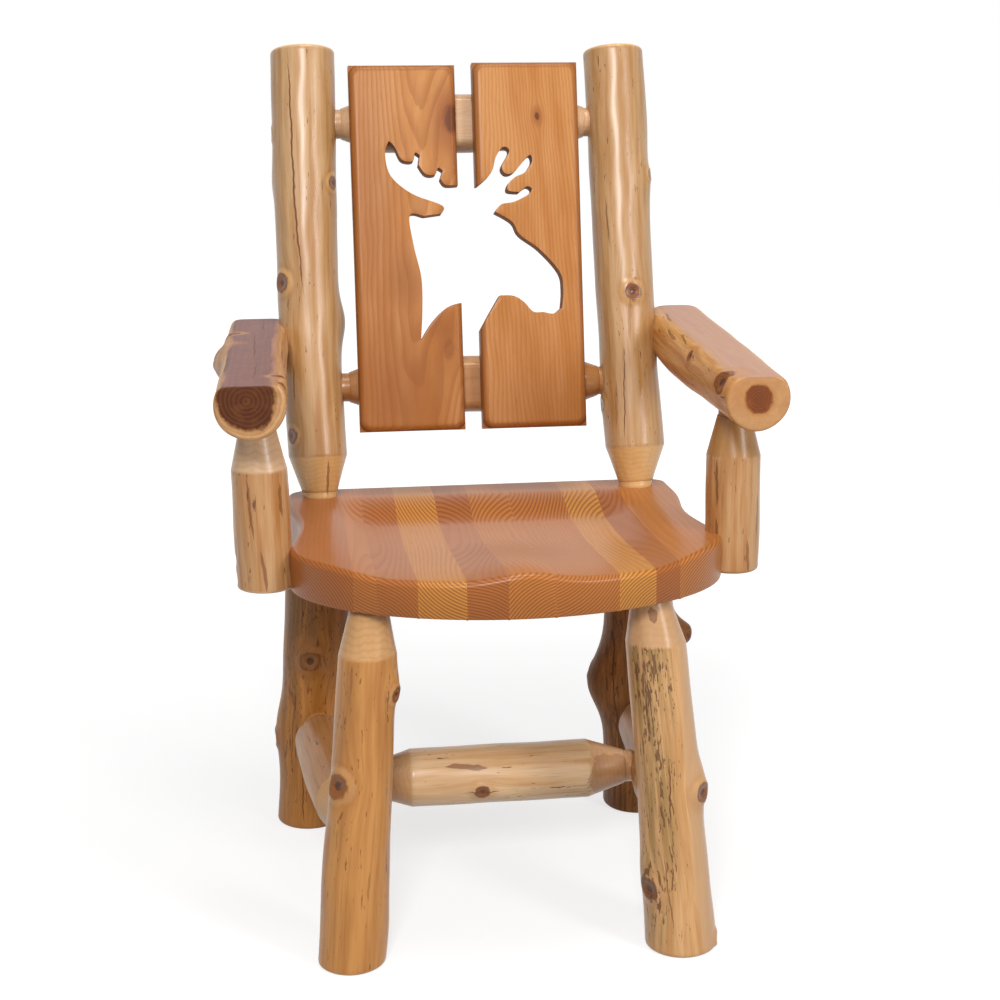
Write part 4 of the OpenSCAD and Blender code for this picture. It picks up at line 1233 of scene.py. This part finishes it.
        # Painted shade where the rounded edges turn from the front, and on faces more than 4 mm behind it
        dark = 0.6 * (1 - smooth(self.round_front - 2.6, self.round_front + 0.1, self.inset(side, x, up)))
        dark = np.maximum(dark, 0.8 * (1 - smooth(front - 4, front - 1, out)))
        for x0, up0, wide, high, deep in self.patches:
            dark = np.maximum(dark, deep * np.exp(-((x - x0) / wide) ** 2 - ((up - up0) / high) ** 2))
        return dark

    def dress(self, mesh: bpy.types.Mesh, side: int) -> None:
        """Stores what a slat's finish reads, and gives its sawn-out faces the second finish.

        Args:
            mesh: The slat's finished mesh.
            side: Which slat.
        """
        c, s = math.cos(LEAN), math.sin(LEAN)
        x, y, z = (places(mesh) - np.array([0, 0, SEAT_TOP])).T
        up, out = y * s + z * c, z * s - y * c
        # The rings' middle lies behind the left slat, and beside the right one
        off, lean, depth = (84, 0.05, 26) if side < 0 else (40, -0.06, 52)
        store(mesh, "grain", np.column_stack([x + off - lean * up, out + depth - 0.06 * up, up]))
        store(mesh, "shade_and_patches", self.shade_and_patches(side, x, up, out))
        facing = Vector((0.0, -c, s))
        for f in mesh.polygons:
            across = abs(f.center.x / MM + ORIGIN[0] - self.middle(side))
            along = (f.center.z / MM - SEAT_TOP) * c + (f.center.y / MM + ORIGIN[1]) * s - self.start
            inside = min(self.width / 2 - across, along, self.length(side) - along) > 1.0
            f.material_index = int(inside and abs(f.normal.dot(facing)) < 0.12)

    def build(self, boards: Sequence[bpy.types.Material], sawing: bpy.types.Material) -> None:
        """Builds and dresses the two slats.

        Args:
            boards: The left and the right slat's finish.
            sawing: The finish of the faces that are sawn out.
        """
        for side, name, material in ((-1, "left", boards[0]), (1, "right", boards[1])):
            bm = self.slat(side)
            bmesh.ops.transform(bm, matrix=self.to_chair(), verts=bm.verts)
            piece = make_object(bm, f"slat_{name}", f"back_slat_{name}", material)
            piece.data.materials.append(sawing)
            piece.data.set_sharp_from_angle(angle=math.radians(28))
            self.dress(piece.data, side)


def side_bores(x: float, out: float, *spots: tuple[float, float]) -> list[tuple[Point, Point, float]]:
    """Gives the counterbores of lag screws that go in from the chair's side.

    Args:
        x: Where the screws' heads sit.
        out: From there to a point outside the log.
        *spots: Each screw's depth and height.

    Returns:
        The log's bores.
    """
    return [((x + out, y, z), (x, y, z), SIDE_BORE) for y, z in spots]


def posts() -> list[Log]:
    """Lists the two back posts.

    Returns:
        The left post and the right one.
    """
    def post(name: str, base: Point, top: Point, radii: tuple[float, float], seed: float, **more: object) -> Log:
        """Gives a post from the seat to its sawn top."""
        return Log(f"post_{name}", f"back_post_{name}", "posts", spot(base, top, NECK), spot(top, base, POST_INSET),
                   radii, taper(46, 21), sawn(radii[1]), seed, **more)

    return [
        post("left", (-205, 0, 457), (-207.5, 103, 1005), (36.5, 39.5), 80, bow=(-4, 0),
             swellings=[[389, 148, 5, 26, 26], [215, 12, 7, 28, 34], [215, 170, 2, 60, 50], [24, 120, 3, 16, 30]],
             knots=[Knot(262, -148, 11, 2.2), Knot(449, -176, 8), Knot(385, -30, 8), Knot(72, -145, 9, 1.0),
                    Knot(120, 40, 7), Knot(330, 95, 8)],
             lines=[check(2.2, (548, -118), (461, -114), (413, -113), (352, -111), (292, -105), (240, -100)),
                    check(1.8, (160, -130), (112, -131)), scar(3.4, (40, -70), (-6, -64)),
                    check(1.4, (520, 70), (180, 84))]),
        post("right", (201, 0, 457), (186.5, 103, 1005), (36.5, 37.5), 250, bow=(-1, 0),
             swellings=[[385, -28, 4, 24, 24], [45, 0, 4, 70, 50], [470, 10, 3, 60, 40], [100, 200, 3, 45, 40]],
             knots=[Knot(241, -85, 10, 1.8), Knot(101, -172, 9, 1.2), Knot(390, -24, 7), Knot(200, 60, 8),
                    Knot(430, 120, 7)],
             lines=[check(1.3, (170, -109), (50, -118)), streak(4.2, (236, -92), (178, -98)),
                    streak(4.0, (130, -128), (70, -134)), scar(2.4, (360, -130), (300, -127))]),
    ]


def legs() -> list[Log]:
    """Lists the four legs.

    Returns:
        The legs at the front left, front right, rear left and rear right.
    """
    def leg(name: str, place: str, finish: str, foot: Point, top: Point, radii: tuple[float, float],
            last: LogEnd, seed: float, **more: object) -> Log:
        """Gives a leg that is sawn level at the floor."""
        return Log(f"leg_{name}", f"leg_{place}", finish, foot, top, radii, sawn(radii[0]), last, seed,
                   level=True, **more)

    return [
        leg("fl", "front_left", "leg_streaked", (-192, -352, 0), (-161.377, -335.207, 406), (37, 32),
            taper(52, 20), 10, bow=(1, 3),
            swellings=[[194, 215, 5, 26, 26], [320, -20, 5, 22, 26], [40, 20, 3, 40, 50], [110, 190, 3, 50, 50]],
            knots=[Knot(314, -27, 8, 1.8), Knot(216, -138, 13, 2.6), Knot(120, 60, 9), Knot(260, 120, 8)],
            bark=[[230, -150, 90, 30, 0.3], [330, -110, 50, 40, 0.2], [120, -90, 60, 30, 0.12]],
            lines=[streak(3.0, (352, -122), (318, -124)), streak(2.4, (168, -134), (140, -135)),
                   streak(2.6, (120, -70), (84, -71)), check(1.3, (300, 80), (120, 92))]),
        leg("fr", "front_right", "leg_flecked", (182, -362, 0), (148.414, -335.328, 406), (39.5, 32),
            taper(52, 20), 130, bow=(3, 3),
            swellings=[[195, -20, 6, 26, 30], [90, 190, 3, 30, 30], [20, -10, 2, 40, 50]],
            knots=[Knot(186, -33, 11, 2.6), Knot(76, -152, 12, 1.8), Knot(8, -14, 8, 2.0), Knot(230, 110, 9)],
            bark=[[250, -125, 170, 38, 0.85], [330, -100, 70, 55, 0.55], [60, -150, 60, 40, 0.6],
                  [200, -35, 240, 32, -1.0]],
            lines=[scar(9.0, (402, -104), (384, -98)), scar(2.4, (330, -128), (250, -132)),
                   check(1.4, (236, -96), (150, -104)), scar(1.6, (120, -120), (30, -110))]),
        leg("rl", "rear_left", "leg_dark", (-230.79, 55, 0), (-204.79, -8.646, 411), (43.5, 43.5),
            sawn(43.5, 4), 200, bow=(0, 3), swellings=[[140, 180, 7, 42, 44], [255, -100, 3, 30, 30]],
            knots=[Knot(251, -102, 13, 2.4), Knot(125, 178, 11, 2.0), Knot(200, 60, 10)],
            bark=[[300, -120, 120, 60, 0.6], [130, -150, 120, 50, 0.4]],
            lines=[scar(1.8, (380, -120), (280, -118)), scar(2.0, (210, -128), (90, -132)),
                   check(1.2, (90, -110), (10, -104)), check(1.6, (300, 90), (80, 84))]),
        leg("rr", "rear_right", "leg_darkest", (215.217, 45, 0), (202.217, -8.646, 411), (45, 45),
            sawn(45, 4), 70, bow=(1, -2), swellings=[[188, 182, 24, 48, 40], [258, -15, 28, 22, 24]],
            knots=[Knot(258, -15, 12, 2.0), Knot(203, 170, 10), Knot(120, 80, 10)],
            # The second zone, low on the leg, is painted shade laid as a dark stain
            bark=[[250, -120, 160, 60, 0.6], [50, -110, 90, 80, 0.8]],
            lines=[check(1.8, (297, -147), (149, -135), (7, -129)), scar(1.6, (240, -115), (110, -112)),
                   scar(1.8, (340, -120), (280, -124)), check(1.5, (320, 95), (60, 88))]),
    ]


def stretchers() -> list[Log]:
    """Lists the two side stretchers and the one between them.

    Returns:
        The left, the right and the cross stretcher.
    """
    ends = taper(46, 19), taper(46, 19)

    def side(name: str, front: Point, rear: Point, seed: float, **more: object) -> Log:
        """Gives a side stretcher from the front leg to the rear leg."""
        return Log(f"stretcher_{name}", f"side_stretcher_{name}", "side", spot(front, rear, NECK),
                   spot(rear, front, NECK), (34, 34), *ends, seed, step=3.0, **more)

    return [
        side("left", (-184.45, -308.672, 153), (-216.42, -12.193, 153), 20, bow=(2, -5),
             swellings=[[60, 180, 5, 50, 50]], lines=[check(1.0, (220, 30), (60, 38))]),
        side("right", (173.643, -312.449, 153), (205.479, -19.97, 153), 160, bow=(2, 3),
             swellings=[[200, 160, 3, 40, 50]], lines=[check(1.0, (230, -40), (80, -32))]),
        Log("stretcher_cross", "cross_stretcher", "cross", (-157.168, -200, 153), (146.883, -200, 153),
            (33.5, 36), *ends, 40, swellings=[[150, 110, 2, 30, 30]], knots=[Knot(128, 104, 8, 1.6)],
            bark=[[262, 118, 42, 26, 0.9]],
            # The 52 mm wide streak darkens the right end's cone: partly the wood's own brown, partly painted shade
            lines=[check(1.2, (150, 103), (108, 105)), scar(6.4, (136, 57), (84, 50)),
                   streak(1.6, (250, 120), (170, 124)), streak(52.0, (312, 95), (254, 92))]),
    ]


def rails() -> list[Log]:
    """Lists the two half-round rails between the back posts, flat where the slats lie on them.

    Returns:
        The upper rail and the lower one.
    """
    c, s = math.cos(LEAN), math.sin(LEAN)

    def rail(name: str, left: float, right: float, axis: tuple[float, float], up: float, seed: float,
             swelling: Sequence[float]) -> Log:
        """Gives a rail.

        Args:
            name: Which rail.
            left: Where the left post's wood begins.
            right: Where the right post's wood begins.
            axis: The depth and height of the rail's axis.
            up: How far up the back the axis lies.
            seed: Sets its small waves.
            swelling: Its swelling.

        Returns:
            The rail.
        """
        face = (0, up * s - SLATS_REAR * c, SEAT_TOP + up * c + SLATS_REAR * s)
        # The screws' heads sit 12 mm behind the axis, and 50 mm behind it is clear of the wood
        seat, outside = ((axis[0] + far * c, axis[1] - far * s) for far in (12, 50))
        bores = [((x, *outside), (x, *seat), SLAT_BORE) for x in SLAT_SCREWS]
        return Log(f"rail_{name}", f"back_rail_{name}", f"rail_{name}", (left + NECK, *axis), (right - NECK, *axis),
                   (36, 36), taper(48, 18), taper(48, 18), seed, swellings=[swelling], flats=[(face, (0, -c, s))],
                   bores=bores, step=3.0)

    return [
        rail("upper", -168.089, 151.521, (94.1273, 914.486), 467, 30, [160, 150, 1.5, 40, 40]),
        rail("lower", -168.386, 160.722, (32.9845, 589.182), 136, 190, [230, 120, 1.5, 40, 40]),
    ]


def arms() -> list[Log]:
    """Lists the two arms, planed flat on top.

    Returns:
        The left arm and the right one.
    """
    def arm(name: str, finish: str, front: Point, rear: Point, radii: tuple[float, float], seed: float,
            top: float, rise: float, **more: object) -> Log:
        """Gives an arm.

        Args:
            name: Which arm.
            finish: Its finish.
            front: Its front end.
            rear: Its rear end.
            radii: Its radius at both ends.
            seed: Sets its small waves.
            top: How high the flat lies at the front.
            rise: By how many degrees the flat rises to the back.
            **more: Its other details.

        Returns:
            The arm.
        """
        tilt = math.radians(rise)
        flat = ((front[0], front[1], top), (0, -math.sin(tilt), math.cos(tilt)))
        return Log(f"arm_{name}", f"armrest_{name}", finish, front, rear, radii, sawn(radii[0], 4),
                   sawn(radii[1], 4), seed, slot="arm_wood", flats=[flat], **more)

    return [
        arm("left", "arm_red", (-279, -365, 635), (-274.588, 73.7865, 653), (37, 37), 120, 656, 2.34908, soft=9.0,
            pith=(5.0, -3.5), swellings=[[262, -96, 12.4, 62, 28], [45, 60, 3, 16, 26]],
            bores=side_bores(-296.59, -40, (28.09, 648.58), (50.09, 648.58)),
            knots=[Knot(262, -84, 12, 1.2), Knot(52, 58, 6), Knot(20, 64, 5), Knot(330, -60, 8)],
            lines=[check(1.5, (330, -6), (150, 6)), check(1.0, (120, 14), (40, 10)),
                   check(1.2, (420, 18), (340, 22)), scar(2.4, (240, 60), (160, 64))]),
        arm("right", "arm_pale", (257, -365, 626), (266.364, 74.9142, 650.5), (35.5, 40), 300, 651, 3.77159, soft=8.0,
            swellings=[[60, -70, 4, 34, 30], [300, -130, 7, 140, 45]],
            bores=side_bores(290.63, 40, (28.19, 645.51), (50.19, 645.51)),
            knots=[Knot(28, -66, 14, 2.4), Knot(180, -70, 7), Knot(120, 90, 8)],
            lines=[scar(4.2, (320, -62), (262, -66)), scar(3.0, (262, -52), (214, -58)),
                   streak(1.8, (200, -92), (70, -96)), scar(2.6, (390, -40), (330, -46))]),
    ]


def arm_posts() -> list[Log]:
    """Lists the two arm posts.

    Returns:
        The left post and the right one.
    """
    return [
        Log("arm_post_l", "arm_post_left", "arm_posts", (-272, -252, 411), (-275.265, -252, 597.636), (31, 31),
            sawn(31, 4), taper(52, 18), 60, level=True, swellings=[[60, 200, 1.5, 60, 50]],
            bores=side_bores(-292, -30, (-252, 423), (-252, 445)),
            lines=[scar(2.8, (132, -117), (60, -108)), scar(3.6, (64, -158), (16, -163)),
                   scar(3.6, (50, -95), (2, -87)), scar(4.6, (124, -48), (84, -44))]),
        Log("arm_post_r", "arm_post_right", "arm_post_right", (261, -252, 411), (261, -252, 590.637), (31, 31),
            sawn(31, 4), taper(46, 18), 220, level=True, swellings=[[60, 20, 1.5, 60, 50]],
            bores=side_bores(281, 30, (-252, 423), (-252, 445)),
            lines=[scar(3.6, (134, -143), (76, -140)), scar(3.2, (66, -141), (24, -138)),
                   scar(3.6, (40, -70), (0, -64)), scar(3.4, (92, -42), (40, -39))]),
    ]


@dataclass
class Studio:
    """The pale floor, the soft lamps and the camera at the photograph's place."""
    eye: tuple[float, float, float] = (-0.2255, -1.9378, 0.9212)
    yaw: float = 7.14
    pitch: float = 12.86
    roll: float = 0.47
    lens: float = 60.32
    floor_half: float = 14.0

    def camera(self) -> None:
        """Puts the camera where the chair's level and upright lines say that it stood."""
        yaw, pitch, roll = (math.radians(a) for a in (self.yaw, self.pitch, self.roll))
        forward = Vector((math.sin(yaw) * math.cos(pitch), math.cos(yaw) * math.cos(pitch), -math.sin(pitch)))
        right = Vector((math.cos(yaw), -math.sin(yaw), 0))
        down = forward.cross(right)
        across = math.cos(roll) * right + math.sin(roll) * down
        drop = -math.sin(roll) * right + math.cos(roll) * down
        data = bpy.data.cameras.new("studio_camera")
        data.lens, data.sensor_width = self.lens, 36.0
        camera = bpy.data.objects.new("studio_camera", data)
        turn = Matrix((across, -drop, -forward)).transposed()
        camera.matrix_world = Matrix.Translation(self.eye) @ turn.to_4x4()
        bpy.context.scene.collection.objects.link(camera)
        bpy.context.scene.camera = camera

    def lamp(self, name: str, place: Point, aim: Point, size: tuple[float, float], watts: float) -> None:
        """Adds one soft box lamp.

        Args:
            name: The lamp's name.
            place: Where it hangs, in metres.
            aim: The point that it faces.
            size: Its width and height in metres.
            watts: Its power.
        """
        data = bpy.data.lights.new(name, "AREA")
        data.shape, data.size, data.size_y, data.energy = "RECTANGLE", size[0], size[1], watts
        lamp = bpy.data.objects.new(name, data)
        way = Vector(aim) - Vector(place)
        lamp.matrix_world = Matrix.Translation(place) @ way.to_track_quat("-Z", "Y").to_matrix().to_4x4()
        bpy.context.scene.collection.objects.link(lamp)

    @staticmethod
    def seen(tree: bpy.types.NodeTree) -> Socket:
        """Tells what is seen from what only lights the chair.

        Args:
            tree: The material's or world's nodes.

        Returns:
            1 for a ray from the camera, off a shiny face or through a clear one, and 0 for others.
        """
        sight = add(tree, "ShaderNodeLightPath")
        seen = sight.outputs["Is Camera Ray"]
        for kind in ("Is Glossy Ray", "Is Transmission Ray"):
            seen = add(tree, "ShaderNodeMath", {"operation": "MAXIMUM"}, in_0=seen,
                       in_1=sight.outputs[kind]).outputs[0]
        return seen

    def floor(self) -> None:
        """Lays the pale floor, which looks white to the camera and keeps the chair's shadow."""
        material, tree = new_material("studio_floor")
        matt = add(tree, "ShaderNodeBsdfDiffuse", None, Color=linear("#a6a6a6"))
        place = add(tree, "ShaderNodeTexCoord").outputs["Object"]
        away = add(tree, "ShaderNodeVectorMath", {"operation": "LENGTH"}, in_0=place).outputs["Value"]
        light = add(tree, "ShaderNodeMapRange", {"interpolation_type": "SMOOTHSTEP"}, Value=away, From_Min=0.5,
                    From_Max=2.2, To_Min=0.72, To_Max=1.0).outputs[0]
        strength = add(tree, "ShaderNodeMath", {"operation": "MULTIPLY"}, in_0=self.seen(tree),
                       in_1=light).outputs[0]
        glow = add(tree, "ShaderNodeEmission", None, Color=linear("#ffffff"), Strength=strength)
        both = add(tree, "ShaderNodeAddShader", None, in_0=matt.outputs[0], in_1=glow.outputs[0])
        add(tree, "ShaderNodeOutputMaterial", None, Surface=both.outputs[0])
        bm = bmesh.new()
        bmesh.ops.create_grid(bm, x_segments=4, y_segments=4, size=self.floor_half)
        mesh = bpy.data.meshes.new("studio_floor")
        bm.to_mesh(mesh)
        bm.free()
        mesh.materials.append(material)
        floor = bpy.data.objects.new("studio_floor", mesh)
        bpy.context.scene.collection.objects.link(floor)

    def world(self) -> None:
        """Makes the surroundings white to the eye and a dim fill to the chair."""
        world = bpy.data.worlds.new("studio")
        world.use_nodes = True
        tree = world.node_tree
        tree.nodes.clear()
        strength = add(tree, "ShaderNodeMapRange", None, Value=self.seen(tree), To_Min=0.22, To_Max=1.0).outputs[0]
        sky = add(tree, "ShaderNodeBackground", None, Color=linear("#ffffff"), Strength=strength)
        add(tree, "ShaderNodeOutputWorld", None, Surface=sky.outputs[0])
        bpy.context.scene.world = world

    def build(self) -> None:
        """Sets the whole studio up."""
        self.camera()
        self.floor()
        self.world()
        self.lamp("key", (-0.6, -3.0, 2.15), (0.0, 0.0, 0.5), (0.7, 0.65), 68.0)
        self.lamp("left", (-2.4, -1.9, 1.5), (0.0, 0.0, 0.5), (0.7, 1.3), 3.0)
        self.lamp("right", (1.9, -2.4, 1.5), (0.0, 0.0, 0.5), (0.6, 1.1), 36.0)
        self.lamp("top", (0.1, -0.4, 2.9), (0.0, 0.0, 0.4), (1.2, 0.9), 29.0)
        bpy.context.scene.view_settings.view_transform = "Standard"


def finishes() -> dict[str, bpy.types.Material]:
    """Builds the wood finishes, by the names that the pieces ask for.

    Returns:
        Each finish's material under its name.
    """
    woods: dict[str, LogFinish | BoardFinish] = {
        "posts": LogFinish("peeled_pine_lacquered", pale="#bb9467", amber="#9f6c32", flecks=0.12,
                           fresh="#d8ac70", coat=0.9, coat_roughness=0.3),
        "cross": LogFinish("peeled_pine_lacquered_white", pale="#dab78e", amber="#c5945f", fresh="#c99868",
                           streaks=0.35, flecks=0.0, coat=0.8, coat_roughness=0.3),
        "rail_upper": LogFinish("peeled_pine_lacquered_upper_rail", pale="#c8a580", amber="#b28356",
                                fresh="#c8a27c", streaks=0.35, flecks=0.0),
        "rail_lower": LogFinish("peeled_pine_lacquered_lower_rail", pale="#c99a68", amber="#a9713b",
                                fresh="#9f6a3b", flecks=0.1),
        "arm_posts": LogFinish("peeled_pine_lacquered_marked", pale="#c19566", flecks=0.15, fresh="#dcb892",
                               coat=0.8, coat_roughness=0.3),
        # A copy of the left arm post's finish with a darker cut cone: partly the wood's own golden brown, partly
        # painted shade under the arm
        "arm_post_right": LogFinish("peeled_pine_lacquered_golden_shaded", pale="#c19566", flecks=0.15,
                                    fresh="#a4763f", coat=0.7, coat_roughness=0.3),
        "leg_streaked": LogFinish("peeled_pine_lacquered_streaked", pale="#c48948", amber="#a6692e",
                                  rings=0.22, fine_lines=0.24, fresh="#cb9f6c", fleck="#7a481f"),
        "leg_flecked": LogFinish("peeled_pine_lacquered_flecked", pale="#d2a26e", amber="#b9834a",
                                 fleck="#5e3412", bark="#8c6f3b", fresh="#c3986d", rings=0.1, coat=0.7),
        "leg_dark": LogFinish("peeled_pine_lacquered_dark", pale="#bc7d3c", amber="#985e24", line="#70401b",
                              bark="#7c5828", fleck="#713f12", knot="#8a5a2a", fresh="#a06c3c", flecks=0.25,
                              coat=0.35),
        # A darker copy of the rear left leg's finish: partly the leg's own red brown, partly painted shade
        "leg_darkest": LogFinish("peeled_pine_lacquered_red_brown_shaded", pale="#ac7038", amber="#8a5424",
                                 line="#62361a", bark="#5f3d1a", fleck="#5c300e", fresh="#8a5830", coat=0.22),
        "side": LogFinish("peeled_pine_lacquered_shaded", pale="#c08750", amber="#9d6430", flecks=0.1, coat=0.4),
        # The arms' planed tops carry a painted pinkish sheen
        "arm_red": LogFinish("peeled_cedar_lacquered_red_heart", pale="#c99a66", amber="#96602f",
                             heart="#4c230b", heart_radius=30.0, line="#6b3c1c", ring="#7c4c28",
                             fresh="#c79a6c", flecks=0.3, rings=0.26, ring_gap=4.6, core=0.0, coat=0.18,
                             planed_sheen="#90605c", planed_sheen_share=0.46),
        "arm_pale": LogFinish("peeled_cedar_lacquered", pale="#d8a566", amber="#b06e30", heart="#6e320d",
                              heart_radius=16.0, fresh="#b8895e", flecks=0.35, rings=0.2, ring_gap=2.6,
                              coat=0.35, planed_sheen="#a6766a", planed_sheen_share=0.5),
        "seat": BoardFinish("glued_cedar_seat_lacquered", early="#b9763a", late="#74390f", warm="#a8662f",
                            ring_width=3.3, ring_depth=0.8, tones=True, wander=1.8),
        "slat_left": BoardFinish("sawn_cedar_left_slat_lacquered", coat=0.22,
                                 knots=((34.0, 464.0, 22.0, 0.8), (36.0, 178.0, 15.0, 0.3))),
        "slat_right": BoardFinish("sawn_cedar_right_slat_lacquered", ring_width=4.0, ring_depth=0.3,
                                  knots=((148.0, 466.0, 6.0, 0.85),), coat=0.22),
        "sawing": BoardFinish("bandsawn_cedar_edge", early="#a76d38", late="#7a451d", warm="#965d28",
                              ring_width=3.0, coat=0.06, roughness=0.7),
    }
    return {name: wood.build() for name, wood in woods.items()}


def main() -> None:
    """Builds the chair and the studio, and reports each piece."""
    logging.basicConfig(level=logging.INFO, format="%(name)s %(message)s")
    woods = finishes()
    for log in posts() + legs() + stretchers() + rails() + arms() + arm_posts():
        log.build(woods[log.finish])
    Seat().build(woods["seat"])
    Back().build((woods["slat_left"], woods["slat_right"]), woods["sawing"])
    steel = SteelFinish().build()
    for name in ("slat_screws", "armrest_screws", "arm_post_screws"):
        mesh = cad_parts[name].data
        mesh.materials.clear()
        mesh.materials.append(steel)
        LOG.info("%s: steel", name)
    Studio().build()


if __name__ == "__main__":
    main()
